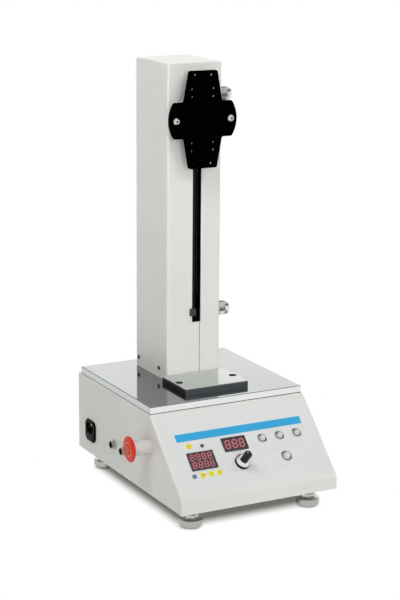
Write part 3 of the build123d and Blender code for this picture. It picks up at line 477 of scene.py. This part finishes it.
# Near-black steel for the guide rods and lead screw inside the column, painted dark as shade
steel_in_shade = ground_metal("steel_in_shade", lin(58, 58, 60), 0.25, 0.4, (60.0, 60.0, 900.0))
status_blue = plastic("status_blue", lin(86, 116, 140), 0.3, coat=0.3)

slot_of = {p["node"]: p["material_slot"] for p in frame["record"]["subparts"]}
for name, obj in nodes.items():
    obj.data.materials.clear()
    obj.data.materials.append(steel_in_shade if name == "guide_rods" else M[slot_of[name]])


# Mesh helpers. Local frames put their Z axis along the outward normal.
def local(origin, ex, ey):
    ex, ey = Vector(ex), Vector(ey)
    ez = ex.cross(ey)
    m = Matrix((ex, ey, ez)).transposed().to_4x4()
    m.translation = Vector(origin)
    return m


PANEL = local((MID, SLOPE_TOP_Y, CABINET_TOP), (1, 0, 0), (0, 0.714671, 0.699465))
LEFT = local((MID - HALF_CABINET_W, 0, 0), (0, -1, 0), (0, 0, 1))
CROSS = local((MID, 0.0073, 0.5165), (1, 0, 0), (0, 0, 1))
OVERLAY = 0.4
OVER_W, OVER_H, OVER_DOWN = 222.0, 118.53, 65.26


def on_panel(x, down, lift=OVERLAY):
    """Frame on the sloped panel: mm from its middle, down from its top edge and out from its face."""
    return PANEL @ Matrix.Translation((x * MM, -down * MM, lift * MM))


def on_left(y, z, lift=0.0):
    """Frame on the cabinet's left side, in mm along Y, up and outward."""
    return LEFT @ Matrix.Translation((-y * MM, z * MM, lift * MM))


def piece(name, bm, body, mat, smooth=False, bevel=0.0):
    """Finish a mesh as a named piece that rides on a body."""
    bmesh.ops.remove_doubles(bm, verts=bm.verts, dist=1e-7)
    bmesh.ops.recalc_face_normals(bm, faces=bm.faces)
    mesh = bpy.data.meshes.new(name)
    bm.to_mesh(mesh)
    bm.free()
    obj = bpy.data.objects.new(name, mesh)
    scene.collection.objects.link(obj)
    obj.data.materials.append(mat)
    for poly in mesh.polygons:
        poly.use_smooth = smooth
    if bevel:
        mod = obj.modifiers.new("edge", "BEVEL")
        mod.width = bevel
        mod.segments = 2
        mod.limit_method = "ANGLE"
    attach(obj, body)
    return obj


def ring_at(bm, outline, lift, place):
    """Vertices along an outline of (x, y) in mm, at a height in mm."""
    return [bm.verts.new(place @ Vector((x * MM, y * MM, lift * MM))) for x, y in outline]


def join(bm, rings, closed=False):
    """Faces between rings of equal count, in order; closed also joins the last to the first."""
    after = rings[1:] + rings[:1] if closed else rings[1:]
    for a, b in zip(rings, after):
        for i in range(len(a)):
            j = (i + 1) % len(a)
            bm.faces.new((a[i], a[j], b[j], b[i]))


def prism(bm, outline, low, high, place):
    """Extrude a closed outline of (x, y) in mm from low to high along the local normal."""
    rings = [ring_at(bm, outline, h, place) for h in (low, high)]
    bm.faces.new(list(reversed(rings[0])))
    bm.faces.new(rings[1])
    join(bm, rings)


def lathe(bm, profile, place, segments=48):
    """Turn a list of (radius, height) in mm about the local normal; radius 0 closes the end."""
    rings = []
    for r, h in profile:
        if r == 0:
            rings.append([bm.verts.new(place @ Vector((0, 0, h * MM)))])
            continue
        ring = []
        for i in range(segments):
            a = 2 * math.pi * i / segments
            ring.append(bm.verts.new(place @ Vector((r * MM * math.cos(a), r * MM * math.sin(a), h * MM))))
        rings.append(ring)
    for a, b in zip(rings, rings[1:]):
        for i in range(segments):
            j = (i + 1) % segments
            corners = [a[i % len(a)], a[j % len(a)], b[j % len(b)], b[i % len(b)]]
            corners = list(dict.fromkeys(corners))
            if len(corners) > 2:
                bm.faces.new(corners)


def ring_profile(inner, outer, low, high):
    return [(inner, low), (outer, low), (outer, high), (inner, high), (inner, low)]


def circle(r, count):
    turns = [2 * math.pi * i / count for i in range(count)]
    return [(r * math.cos(a), r * math.sin(a)) for a in turns]


def hexagon(flats, turn=0.0):
    """Six corners of a nut or recess, sized across its flats."""
    r = flats / math.sqrt(3)
    return [(r * math.cos(turn + math.pi * k / 3), r * math.sin(turn + math.pi * k / 3)) for k in range(6)]


def rounded(w, h, r, steps=5):
    """Outline of a rectangle with rounded corners."""
    out = []
    x, y = w / 2 - r, h / 2 - r
    for cx, cy, start in ((x, y, 0), (-x, y, 90), (-x, -y, 180), (x, -y, 270)):
        for k in range(steps + 1):
            a = math.radians(start + 90 * k / steps)
            out.append((cx + r * math.cos(a), cy + r * math.sin(a)))
    return out


def band(points, width):
    """Closed outline of a line of constant width through points."""
    left, right = [], []
    for i, (x, y) in enumerate(points):
        x0, y0 = points[max(0, i - 1)]
        x1, y1 = points[min(len(points) - 1, i + 1)]
        d = math.hypot(x1 - x0, y1 - y0)
        nx, ny = -(y1 - y0) / d, (x1 - x0) / d
        left.append((x + nx * width / 2, y + ny * width / 2))
        right.append((x - nx * width / 2, y - ny * width / 2))
    return left + right[::-1]


def segments(bm, cx, cy, w, h, t, place, low, high, lean=0.10):
    """The seven bars of one digit, leaning a little to the right."""
    gap = t * 0.16
    bars = []
    for y in (h / 2 - t / 2, 0.0, t / 2 - h / 2):
        bars.append(((t / 2 - w / 2 + gap, y), (w / 2 - t / 2 - gap, y)))
    for x in (t / 2 - w / 2, w / 2 - t / 2):
        bars.append(((x, gap), (x, h / 2 - t / 2 - gap)))
        bars.append(((x, t / 2 - h / 2 + gap), (x, -gap)))
    for (x0, y0), (x1, y1) in bars:
        d = math.hypot(x1 - x0, y1 - y0)
        ux, uy = (x1 - x0) / d, (y1 - y0) / d
        half = t / 2
        pts = [(x0, y0), (x0 + ux * half - uy * half, y0 + uy * half + ux * half)]
        pts.append((x1 - ux * half - uy * half, y1 - uy * half + ux * half))
        pts.append((x1, y1))
        pts.append((x1 - ux * half + uy * half, y1 - uy * half - ux * half))
        pts.append((x0 + ux * half + uy * half, y0 + uy * half - ux * half))
        prism(bm, [(cx + x + lean * y, cy + y) for x, y in pts], low, high, place)


def threaded(bm, major, minor, pitch, low, high, place, around=28, rows=6):
    """Screw thread between two heights in mm, open at both ends; gives its rings."""
    count = max(2, int(round((high - low) / pitch * rows)))
    rings = []
    for k in range(count + 1):
        h = low + (high - low) * k / count
        ring = []
        for i in range(around):
            a = 2 * math.pi * i / around
            wave = (h / pitch - i / around) % 1.0
            crest = min(1.0, max(0.0, 1.5 - abs(wave - 0.5) * 4.0))
            r = (minor + (major - minor) * crest) * MM
            ring.append(bm.verts.new(place @ Vector((r * math.cos(a), r * math.sin(a), h * MM))))
        rings.append(ring)
    join(bm, rings)
    return rings


def closed_stack(bm, rings):
    """Join rings of equal count in order and cap both ends."""
    join(bm, rings)
    bm.faces.new(list(reversed(rings[0])))
    bm.faces.new(rings[-1])


def screw_head(bm, r, h, place):
    """Rounded screw head; its recess is a piece of its own, a dark patch of painted shade."""
    lathe(bm, [(0, 0), (r, 0), (r, h * 0.35), (r * 0.86, h * 0.78), (r * 0.55, h), (0, h)], place, 32)


# Control panel: printed band, group lines, displays and key marks
bm = bmesh.new()
prism(bm, rounded(192.5, 11.4, 0.4), 0.0, 0.06, on_panel(1.25, 40.3))
piece("panel_band", bm, "frame", blue_ink)

bm = bmesh.new()
rings = []
for grow, lift in ((0.0, 0.0), (0.0, OVERLAY), (2.5, 0.04), (2.5, 0.0)):
    outline = rounded(OVER_W + 2 * grow, OVER_H + 2 * grow, 0.2 + grow)
    rings.append(ring_at(bm, outline, lift, on_panel(0, OVER_DOWN, 0.0)))
join(bm, rings, closed=True)
piece("overlay_rim", bm, "frame", M["overlay"])

bm = bmesh.new()
group_lines = [
    [(-32.0, 98.0), (8.0, 98.0)],
    [(17.0, 78.0), (17.0, 102.4)],
    [(17.0, 78.0), (90.0, 78.0)],
    [(17.0, 102.4), (90.0, 102.4)],
]
for line in group_lines:
    prism(bm, band([(x, -y) for x, y in line], 0.35), 0.0, 0.05, on_panel(0, 0))
piece("panel_lines", bm, "frame", grey_ink)

COUNTER_AT = (-68.7, 77.2)
SPEED_AT = (-13.4, 60.6)
DIGIT_LIFT = 1.1
BEZEL_W = 2.6
for name, at, w, h in (("counter", COUNTER_AT, 38.6, 26.2), ("speed", SPEED_AT, 36.0, 20.3)):
    bm = bmesh.new()
    outer, inner = rounded(w, h, 0.8), rounded(w - BEZEL_W, h - BEZEL_W, 0.5)
    steps = ((outer, 0.0), (outer, 1.25), (inner, 1.35), (inner, 0.65))
    join(bm, [ring_at(bm, outline, lift, on_panel(*at)) for outline, lift in steps], closed=True)
    piece(name + "_bezel", bm, "frame", dark_bezel)

face = on_panel(*COUNTER_AT, DIGIT_LIFT)
bm = bmesh.new()
for row in (5.9, -5.9):
    for k in range(4):
        segments(bm, (k - 1.5) * 8.7, row, 6.4, 10.0, 1.25, face, 0.0, 0.08)
piece("counter_digits", bm, "frame", segment_red)
face = on_panel(*SPEED_AT, DIGIT_LIFT)
bm = bmesh.new()
for k in range(3):
    segments(bm, (k - 1) * 10.6, 0.0, 8.0, 13.2, 1.7, face, 0.0, 0.08)
piece("speed_digits", bm, "frame", segment_red)

KEY_TOP = 1.4
key_tops = {
    "reset_key": (-79.7, 53.9),
    "set_key": (-74.8, 97.8),
    "up_key": (-62.5, 97.8),
    "shift_key": (-50.2, 97.8),
}
marks = {
    "reset_key": [
        [(-2.6, -0.2), (-0.6, -0.2), (-0.6, 0.7), (-2.6, 0.7)],
        [(0.2, -0.2), (2.4, -0.2), (2.4, 0.7), (0.2, 0.7)],
    ],
    "set_key": [[(-1.1, -1.1), (1.1, -1.1), (1.1, 1.1), (-1.1, 1.1)]],
    "up_key": [[(-1.5, -1.0), (1.5, -1.0), (0.0, 1.5)]],
    "shift_key": [[(-1.9, 1.3), (-0.2, 0.0), (-1.9, -1.3)], [(0.0, 1.3), (1.7, 0.0), (0.0, -1.3)]],
}
for name, (x, down) in key_tops.items():
    bm = bmesh.new()
    for outline in marks[name]:
        prism(bm, outline, 0.0, 0.05, on_panel(x, down, KEY_TOP))
    piece(name + "_mark", bm, name, dark_ink)

bm = bmesh.new()
dome = [(2.4, -0.2), (2.35, 0.25), (2.0, 0.75), (1.2, 1.05), (0, 1.15)]
lathe(bm, dome, on_panel(-61.0, 55.9, KEY_TOP), 32)
piece("lamp_dome", bm, "frame", M["lamp"], smooth=True)
bm = bmesh.new()
prism(bm, rounded(5.1, 5.1, 0.5), -0.3, 0.2, on_panel(-87.8, 98.3, KEY_TOP))
piece("status_lens", bm, "frame", status_blue, bevel=0.00015)

# Push buttons: rolled bezels, and caps with a raised rim round a shallow dish
bezel_mesh = bmesh.new()
for name, x, down, rim, cap in (
    ("up", 29.0, 59.5, 7.25, 4.7),
    ("stop", 56.0, 59.5, 7.25, 4.7),
    ("down", 83.0, 59.5, 7.25, 4.7),
    ("power", 54.5, 91.0, 8.25, 5.7),
):
    place = on_panel(x, down, 0.0)
    barrel = cap + 1.3
    outline = [(0, -18.0), (barrel, -18.0), (barrel, 0.42), (rim, 0.42), (rim, 1.0), (rim - 0.2, 1.7)]
    outline += [(rim - 0.7, 2.3), (rim - 1.3, 2.6), (rim - 1.6, 2.45), (cap + 0.75, 2.0)]
    outline += [(cap + 0.65, 1.6), (cap + 0.65, -6.3), (0, -6.3)]
    lathe(bezel_mesh, outline, place, 48)
    bm = bmesh.new()
    outline = [(0, -3.4), (cap, -3.4), (cap, 3.0), (cap - 0.15, 3.5), (cap - 0.5, 3.85), (cap - 0.95, 3.98)]
    outline += [(cap - 1.4, 3.93), (cap - 2.0, 3.84), (cap - 2.8, 3.76), (cap - 3.6, 3.72), (0, 3.7)]
    lathe(bm, outline, place, 48)
    dish = piece(name + "_button_cap", bm, name + "_button", M["button_metal"], smooth=True)
    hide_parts(name + "_button")
bezels = piece("button_bezels", bezel_mesh, "frame", M["button_metal"], smooth=True)
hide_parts("button_housings")

# Dial pointer and ring on the grip
dial_face = on_panel(DIAL_X, DIAL_DOWN, DIAL_TOP)
bm = bmesh.new()
prism(bm, [(-0.45, 0.8), (0.45, 0.8), (0.45, 4.9), (-0.45, 4.9)], 0.0, 0.08, dial_face)
piece("dial_pointer", bm, "dial", grey_ink)
bm = bmesh.new()
lathe(bm, ring_profile(3.4, 5.0, 0.0, 0.12), dial_face, 40)
piece("dial_top_ring", bm, "dial", M["dial_black"], smooth=True)

# Left-hand side: socket inserts, drawer grip and the stop head's ring
for k, y in enumerate((41.0, 9.0)):
    place = on_left(y, 65.5)
    bm = bmesh.new()
    lining = [(0, -4.95), (3.47, -4.95), (3.47, 5.82), (4.9, 5.82), (4.9, 6.1)]
    lining += [(3.3, 6.1), (3.3, -2.6), (3.0, -2.4), (0, -2.4), (0, -4.95)]
    lathe(bm, lining, place, 32)
    piece("socket_insert_%d" % k, bm, "frame", M["inlet_black"])
    bm = bmesh.new()
    for p in range(5):
        a = 2 * math.pi * p / 5 + 0.3
        spot = place @ Matrix.Translation((1.9 * MM * math.cos(a), 1.9 * MM * math.sin(a), 0))
        lathe(bm, [(0, -2.5), (0.4, -2.5), (0.4, 1.2), (0.25, 1.6), (0, 1.6)], spot, 12)
    piece("socket_pins_%d" % k, bm, "frame", M["contact_brass"], smooth=True)
    bm = bmesh.new()
    flat = hexagon(13.0, 0.2)
    top = [(a * 0.94, b * 0.94) for a, b in flat]
    steps = ((flat, 0.05), (flat, 2.1), (top, 2.4))
    closed_stack(bm, [ring_at(bm, outline, lift, place) for outline, lift in steps])
    piece("socket_nut_%d" % k, bm, "frame", M["socket_metal"])
bm = bmesh.new()
for k in range(3):
    prism(bm, rounded(9.0, 0.9, 0.4, 3), 0.0, 0.5, on_left(118.5, 54.5 + (k - 1) * 1.7, 3.8))
piece("drawer_grip", bm, "drawer", M["drawer_grey"], bevel=0.0001)
bm = bmesh.new()
lathe(bm, ring_profile(8.5, 9.3, 0.0, 0.25), on_left(STOP_Y, STOP_Z, 30.9), 48)
piece("stop_ring", bm, "stop_head", pale_ring)

# Screws of the column covers; the black hexagons on their heads are painted shade standing in for the
# recesses
sides = {
    "left": local((MID - HALF_COLUMN_W, 0, 0), (0, -1, 0), (0, 0, 1)),
    "right": local((MID + HALF_COLUMN_W, 0, 0), (0, 1, 0), (0, 0, 1)),
}
for side, base in sides.items():
    flip = -1 if side == "left" else 1
    bm = bmesh.new()
    holes = bmesh.new()
    for y in (57.5, 122.0):
        spot = base @ Matrix.Translation((flip * y * MM, 162.0 * MM, 0))
        screw_head(bm, 3.0, 1.7, spot)
        prism(holes, hexagon(2.5), 1.6, 1.74, spot)
    piece("cover_screws_" + side, bm, "frame", dark_screw, smooth=True)
    piece("cover_sockets_" + side, holes, "frame", M["dial_black"])
back = local((MID, COLUMN_BACK, 0), (-1, 0, 0), (0, 0, 1))
bm = bmesh.new()
holes = bmesh.new()
for x in (-26.0, 26.0):
    for z in (169.0, 302.0, 435.0, 568.0):
        spot = back @ Matrix.Translation((x * MM, z * MM, 0))
        screw_head(bm, 3.0, 1.7, spot)
        prism(holes, hexagon(2.5), 1.6, 1.74, spot)
piece("cover_screws_back", bm, "frame", dark_screw, smooth=True)
piece("cover_sockets_back", holes, "frame", M["dial_black"])

# Sockets in the clamp screws and floors in the table's holes, both dark patches of painted shade
bm = bmesh.new()
for x in (-41.3, 41.3):
    spot = CROSS @ Matrix.Translation((x * MM, 0, 0))
    prism(bm, hexagon(3.0, 0.3), 3.9, 4.06, spot)
piece("clamp_sockets", bm, "carriage", M["dial_black"])
bm = bmesh.new()
for x in (-42.0, 42.0):
    up_here = local((MID + x * MM, TABLE_HOLE_Y, PLATE_TOP), (1, 0, 0), (0, 1, 0))
    lathe(bm, [(0, 0.02), (5.45, 0.02), (5.45, 0.6), (0, 0.6)], up_here, 28)
piece("table_hole_floors", bm, "frame", M["stop_block"])

# Limit knobs in place of the fluted solids: knurled grip, groove and polished end
KNOB_AROUND = 88
KNURL_STEPS = 4.0
KNURL_ROWS = 13
knob_foot = [(3.1, 0.0), (6.0, 0.0), (6.0, 3.0), (9.2, 3.0), (9.7, 3.5)]
knob_end = [(9.5, 13.4), (9.3, 13.6), (9.3, 14.4), (9.7, 14.6), (10.0, 15.0), (10.1, 16.0), (10.0, 18.2)]
knob_end += [(9.5, 19.4), (8.6, 20.2), (7.2, 20.5), (6.6, 20.4), (6.2, 19.9), (3.1, 19.9)]


def knurled(radius, cut, phase):
    """Outline of one row of the grip; the crossed cuts shift with phase."""
    out = []
    for i in range(KNOB_AROUND):
        one = abs(((i / KNURL_STEPS + phase) % 1.0) - 0.5)
        two = abs(((i / KNURL_STEPS - phase) % 1.0) - 0.5)
        r = radius - cut * (1.0 - 2.0 * min(one, two))
        a = 2 * math.pi * i / KNOB_AROUND
        out.append((r * math.cos(a), r * math.sin(a)))
    return out


for name, z in (("upper", 544.5), ("lower", 241.0)):
    place = local((MID + KNOB_OUT, LIMIT_Y, z * MM), (0, 1, 0), (0, 0, 1))
    bm = bmesh.new()
    rings = [ring_at(bm, circle(r, KNOB_AROUND), h, place) for r, h in knob_foot]
    for k in range(KNURL_ROWS):
        rings.append(ring_at(bm, knurled(10.25, 1.3, k * 0.25), 4.0 + 0.75 * k, place))
    rings += [ring_at(bm, circle(r, KNOB_AROUND), h, place) for r, h in knob_end]
    join(bm, rings, closed=True)
    knob = piece(name + "_knurled_knob", bm, name + "_clamp", M["knurled"])
    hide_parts(name + "_limit_knob")

# Lead screw with its thread in place of the plain shaft
SCREW_AROUND = 28
base = local((MID, SCREW_Y, 0.0), (1, 0, 0), (0, 1, 0))
bm = bmesh.new()
thread = threaded(bm, 7.0, 5.2, 5.0, 178.0, 557.9, base, SCREW_AROUND)
below = ((4.9, 118.5), (5.0, 118.6), (5.0, 176.9), (5.15, 176.9))
low = [ring_at(bm, circle(r, SCREW_AROUND), h, base) for r, h in below]
above = ((5.15, 559.1), (5.0, 559.1), (5.0, 567.4))
high = [ring_at(bm, circle(r, SCREW_AROUND), h, base) for r, h in above]
join(bm, low + thread[:1])
join(bm, thread[-1:] + high)
bm.faces.new(list(reversed(low[0])))
bm.faces.new(high[-1])
shaft = piece("threaded_lead_screw", bm, "screw", steel_in_shade)
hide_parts("lead_screw")

# Feet: turned pad with rounded edges, hexagon nut and threaded stud
for sx, side in ((-1, "left"), (1, "right")):
    for sy, end in ((-1, "front"), (1, "rear")):
        name = "foot_%s_%s" % (end, side)
        place = local((MID + sx * FOOT_X, sy * FOOT_Y, 0.0), (1, 0, 0), (0, 1, 0))
        bm = bmesh.new()
        profile = [(0, 0), (12.9, 0), (13.5, 0.3), (15.8, 3.6), (16.15, 4.2), (16.25, 4.9), (16.25, 10.8)]
        profile += [(16.05, 11.5), (15.5, 11.95), (10.2, 12.0), (10.0, 12.3), (0, 12.3)]
        lathe(bm, profile, place, 56)
        pad = piece(name + "_pad", bm, name, M["foot_metal"], smooth=True)
        bm = bmesh.new()
        flat = hexagon(17.6, 0.4 * sx + 0.2 * sy)
        rings = []
        for k, h in ((0.93, 12.2), (1.0, 12.8), (1.0, 17.4), (0.93, 18.0)):
            rings.append(ring_at(bm, [(x * k, y * k) for x, y in flat], h, place))
        closed_stack(bm, rings)
        piece(name + "_nut", bm, name, foot_nut, bevel=0.0002)
        bm = bmesh.new()
        rings = threaded(bm, 5.0, 4.3, 1.5, 17.0, 41.4, place, 24, 4)
        bm.faces.new(list(reversed(rings[0])))
        bm.faces.new(rings[-1])
        piece(name + "_stud", bm, name, M["bright_screw"])
        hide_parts(name)

# Screws under the bottom cover; the black crosses on their heads are painted shade standing in for the slots
under = local((MID, 0, CABINET_FOOT), (-1, 0, 0), (0, 1, 0))
bm = bmesh.new()
holes = bmesh.new()
for x, y in ((-108, -40), (-108, 60), (108, -40), (108, 60), (-50, -154), (50, -154), (-50, 154), (50, 154)):
    spot = under @ Matrix.Translation((x * MM, y * MM, 0))
    screw_head(bm, 2.6, 1.2, spot)
    for a, b in ((2.6, 0.5), (0.5, 2.6)):
        prism(holes, [(-a / 2, -b / 2), (a / 2, -b / 2), (a / 2, b / 2), (-a / 2, b / 2)], 1.15, 1.24, spot)
piece("bottom_screws", bm, "frame", dark_screw, smooth=True)
piece("bottom_screw_slots", holes, "frame", M["dial_black"])

# Camera, light and floor; the focal length and shifts are in pixels of the picture's height
PICTURE_H = 600
SENSOR_H = 24.0
FOCAL = 1744.05
SHIFT_X, SHIFT_Y = 0.21, -4.62
CAMERA_AT = (-1.0988 + MID, -2.0555, 0.8379)
cam_data = bpy.data.cameras.new("camera")
cam = bpy.data.objects.new("camera", cam_data)
scene.collection.objects.link(cam)
yaw, pitch, roll = 0.488, 0.237, -0.007
fwd = Vector((math.sin(yaw) * math.cos(pitch), math.cos(yaw) * math.cos(pitch), -math.sin(pitch)))
flat_right = Vector((math.cos(yaw), -math.sin(yaw), 0.0))
right = flat_right * math.cos(roll) + fwd.cross(flat_right) * math.sin(roll)
up = -fwd.cross(right)
turn = Matrix((right, up, -fwd)).transposed().to_4x4()
turn.translation = Vector(CAMERA_AT)
cam.matrix_world = turn
cam_data.sensor_fit = "VERTICAL"
cam_data.sensor_height = SENSOR_H
cam_data.lens = FOCAL / PICTURE_H * SENSOR_H
cam_data.shift_x = SHIFT_X / PICTURE_H
cam_data.shift_y = SHIFT_Y / PICTURE_H
scene.camera = cam

scene.view_settings.view_transform = "Standard"


def softbox(name, place, aim, size, power, mirrored=False, spread=180.0):
    """Rectangular lamp; mirrored ones show in shiny surfaces."""
    data = bpy.data.lights.new(name, "AREA")
    data.shape = "RECTANGLE"
    data.size, data.size_y = size
    data.energy = power
    data.spread = math.radians(spread)
    obj = bpy.data.objects.new(name, data)
    obj.location = place
    obj.rotation_euler = (Vector(aim) - Vector(place)).to_track_quat("-Z", "Y").to_euler()
    obj.visible_glossy = mirrored
    scene.collection.objects.link(obj)


softbox("high", (0.35, -1.7, 1.7), (MID, 0.0, 0.4), (0.6, 0.6), 9.4)
softbox("front", (-0.5, -2.2, 0.9), (MID, 0.0, 0.4), (0.6, 0.6), 15.7)
softbox("left", (-0.75, -0.3, 1.45), (0.0, 0.08, 0.6), (0.8, 0.8), 2.3, spread=70.0)
softbox("low_left", (-2.2, -0.6, 0.25), (0.0, 0.0, 0.1), (1.6, 0.4), 3.7)
softbox("right", (2.2, -0.2, 0.9), (MID, 0.0, 0.3), (1.6, 1.6), 14.0)
softbox("rear", (0.7, 2.3, 1.1), (MID, 0.0, 0.3), (2.0, 1.6), 18.0)
softbox("backdrop", (1.41, 2.65, 0.95), (0.0, 0.0, 0.15), (3.2, 1.8), 12.0, mirrored=True)
softbox("front_bounce", (0.0, -0.33, 0.004), (MID, -0.16, 0.05), (0.24, 0.08), 0.05)
softbox("left_bounce", (-0.30, -0.08, 0.004), (-0.1, -0.05, 0.06), (0.08, 0.24), 0.05)
softbox("plate_bounce", (MID, -0.018, 0.1585), (MID, -0.018, 1.0), (0.2, 0.1), 0.02)

# The eye sees plain white, shiny surfaces a white room with a dimmer band, the rest a faint fill
world = bpy.data.worlds.new("studio")
scene.world = world
world.use_nodes = True
tree = world.node_tree
tree.nodes.clear()
out = tree.nodes.new("ShaderNodeOutputWorld")
shown = tree.nodes.new("ShaderNodeBackground")
shown.inputs["Color"].default_value = (1, 1, 1, 1)
room = tree.nodes.new("ShaderNodeBackground")
way = tree.nodes.new("ShaderNodeTexCoord")
height = tree.nodes.new("ShaderNodeSeparateXYZ")
ceiling = tree.nodes.new("ShaderNodeValToRGB")
stops = ceiling.color_ramp.elements
stops[0].position, stops[0].color = 0.34, (1.0, 1.0, 1.0, 1.0)
stops[1].position, stops[1].color = 0.82, (1.0, 1.0, 1.0, 1.0)
for spot in (0.42, 0.76):
    stops.new(spot).color = (0.8, 0.8, 0.8, 1.0)
tree.links.new(way.outputs["Generated"], height.inputs[0])
tree.links.new(height.outputs["Z"], ceiling.inputs["Fac"])
tree.links.new(ceiling.outputs["Color"], room.inputs["Color"])
fill = tree.nodes.new("ShaderNodeBackground")
fill.inputs["Color"].default_value = (1.0, 1.0, 1.0, 1)
fill.inputs["Strength"].default_value = 0.12
path = tree.nodes.new("ShaderNodeLightPath")
seen = tree.nodes.new("ShaderNodeMath")
seen.operation = "MAXIMUM"
mirrored = tree.nodes.new("ShaderNodeMixShader")
pick = tree.nodes.new("ShaderNodeMixShader")
tree.links.new(path.outputs["Is Camera Ray"], seen.inputs[0])
tree.links.new(path.outputs["Is Transmission Ray"], seen.inputs[1])
tree.links.new(path.outputs["Is Glossy Ray"], mirrored.inputs[0])
tree.links.new(fill.outputs[0], mirrored.inputs[1])
tree.links.new(room.outputs[0], mirrored.inputs[2])
tree.links.new(seen.outputs[0], pick.inputs[0])
tree.links.new(mirrored.outputs[0], pick.inputs[1])
tree.links.new(shown.outputs[0], pick.inputs[2])
tree.links.new(pick.outputs[0], out.inputs["Surface"])

bm = bmesh.new()
bmesh.ops.create_grid(bm, x_segments=1, y_segments=1, size=6.0)
mesh = bpy.data.meshes.new("floor")
bm.to_mesh(mesh)
bm.free()
floor = bpy.data.objects.new("floor", mesh)
scene.collection.objects.link(floor)
s = Shade("floor_white")
s.colour(s.mix(s.noise(3.0), (0.87, 0.87, 0.86, 1), (0.91, 0.91, 0.9, 1)))
s.set(Roughness=0.9, Specular_IOR_Level=0.05)
path = s.node("ShaderNodeLightPath")
seen = s.math("MAXIMUM", path.outputs["Is Camera Ray"], path.outputs["Is Glossy Ray"])
seen = s.math("MAXIMUM", seen, path.outputs["Is Transmission Ray"])
# Contact shade under the cabinet and round the feet
off_x = s.math("ABSOLUTE", s.math("SUBTRACT", s.axis("X"), MID), 0.0)
off_y = s.math("ABSOLUTE", s.axis("Y"), 0.0)
shade_x = s.span(s.math("SUBTRACT", off_x, HALF_CABINET_W), -0.032, -0.006, 0.16, 1.0, True)
shade_y = s.span(s.math("SUBTRACT", off_y, HALF_CABINET_D), -0.052, -0.016, 0.16, 1.0, True)
glow = s.math("MAXIMUM", shade_x, shade_y)
near_x = s.math("SUBTRACT", off_x, FOOT_X)
near_y = s.math("SUBTRACT", off_y, FOOT_Y)
reach = s.length(near_x, near_y)
glow = s.math("MULTIPLY", glow, s.span(reach, 0.012, 0.019, 0.75, 1.0, True))
lit = s.node("ShaderNodeEmission")
s.link(s.mix(glow, (1.0, 0.995, 0.93, 1.0), (1.0, 1.0, 1.0, 1.0)), lit.inputs["Color"])
s.link(glow, lit.inputs["Strength"])
both = s.node("ShaderNodeMixShader")
s.link(seen, both.inputs[0])
s.link(s.bsdf.outputs[0], both.inputs[1])
s.link(lit.outputs[0], both.inputs[2])
s.link(both.outputs[0], s.tree.nodes["Material Output"].inputs["Surface"])
floor.data.materials.append(s.mat)
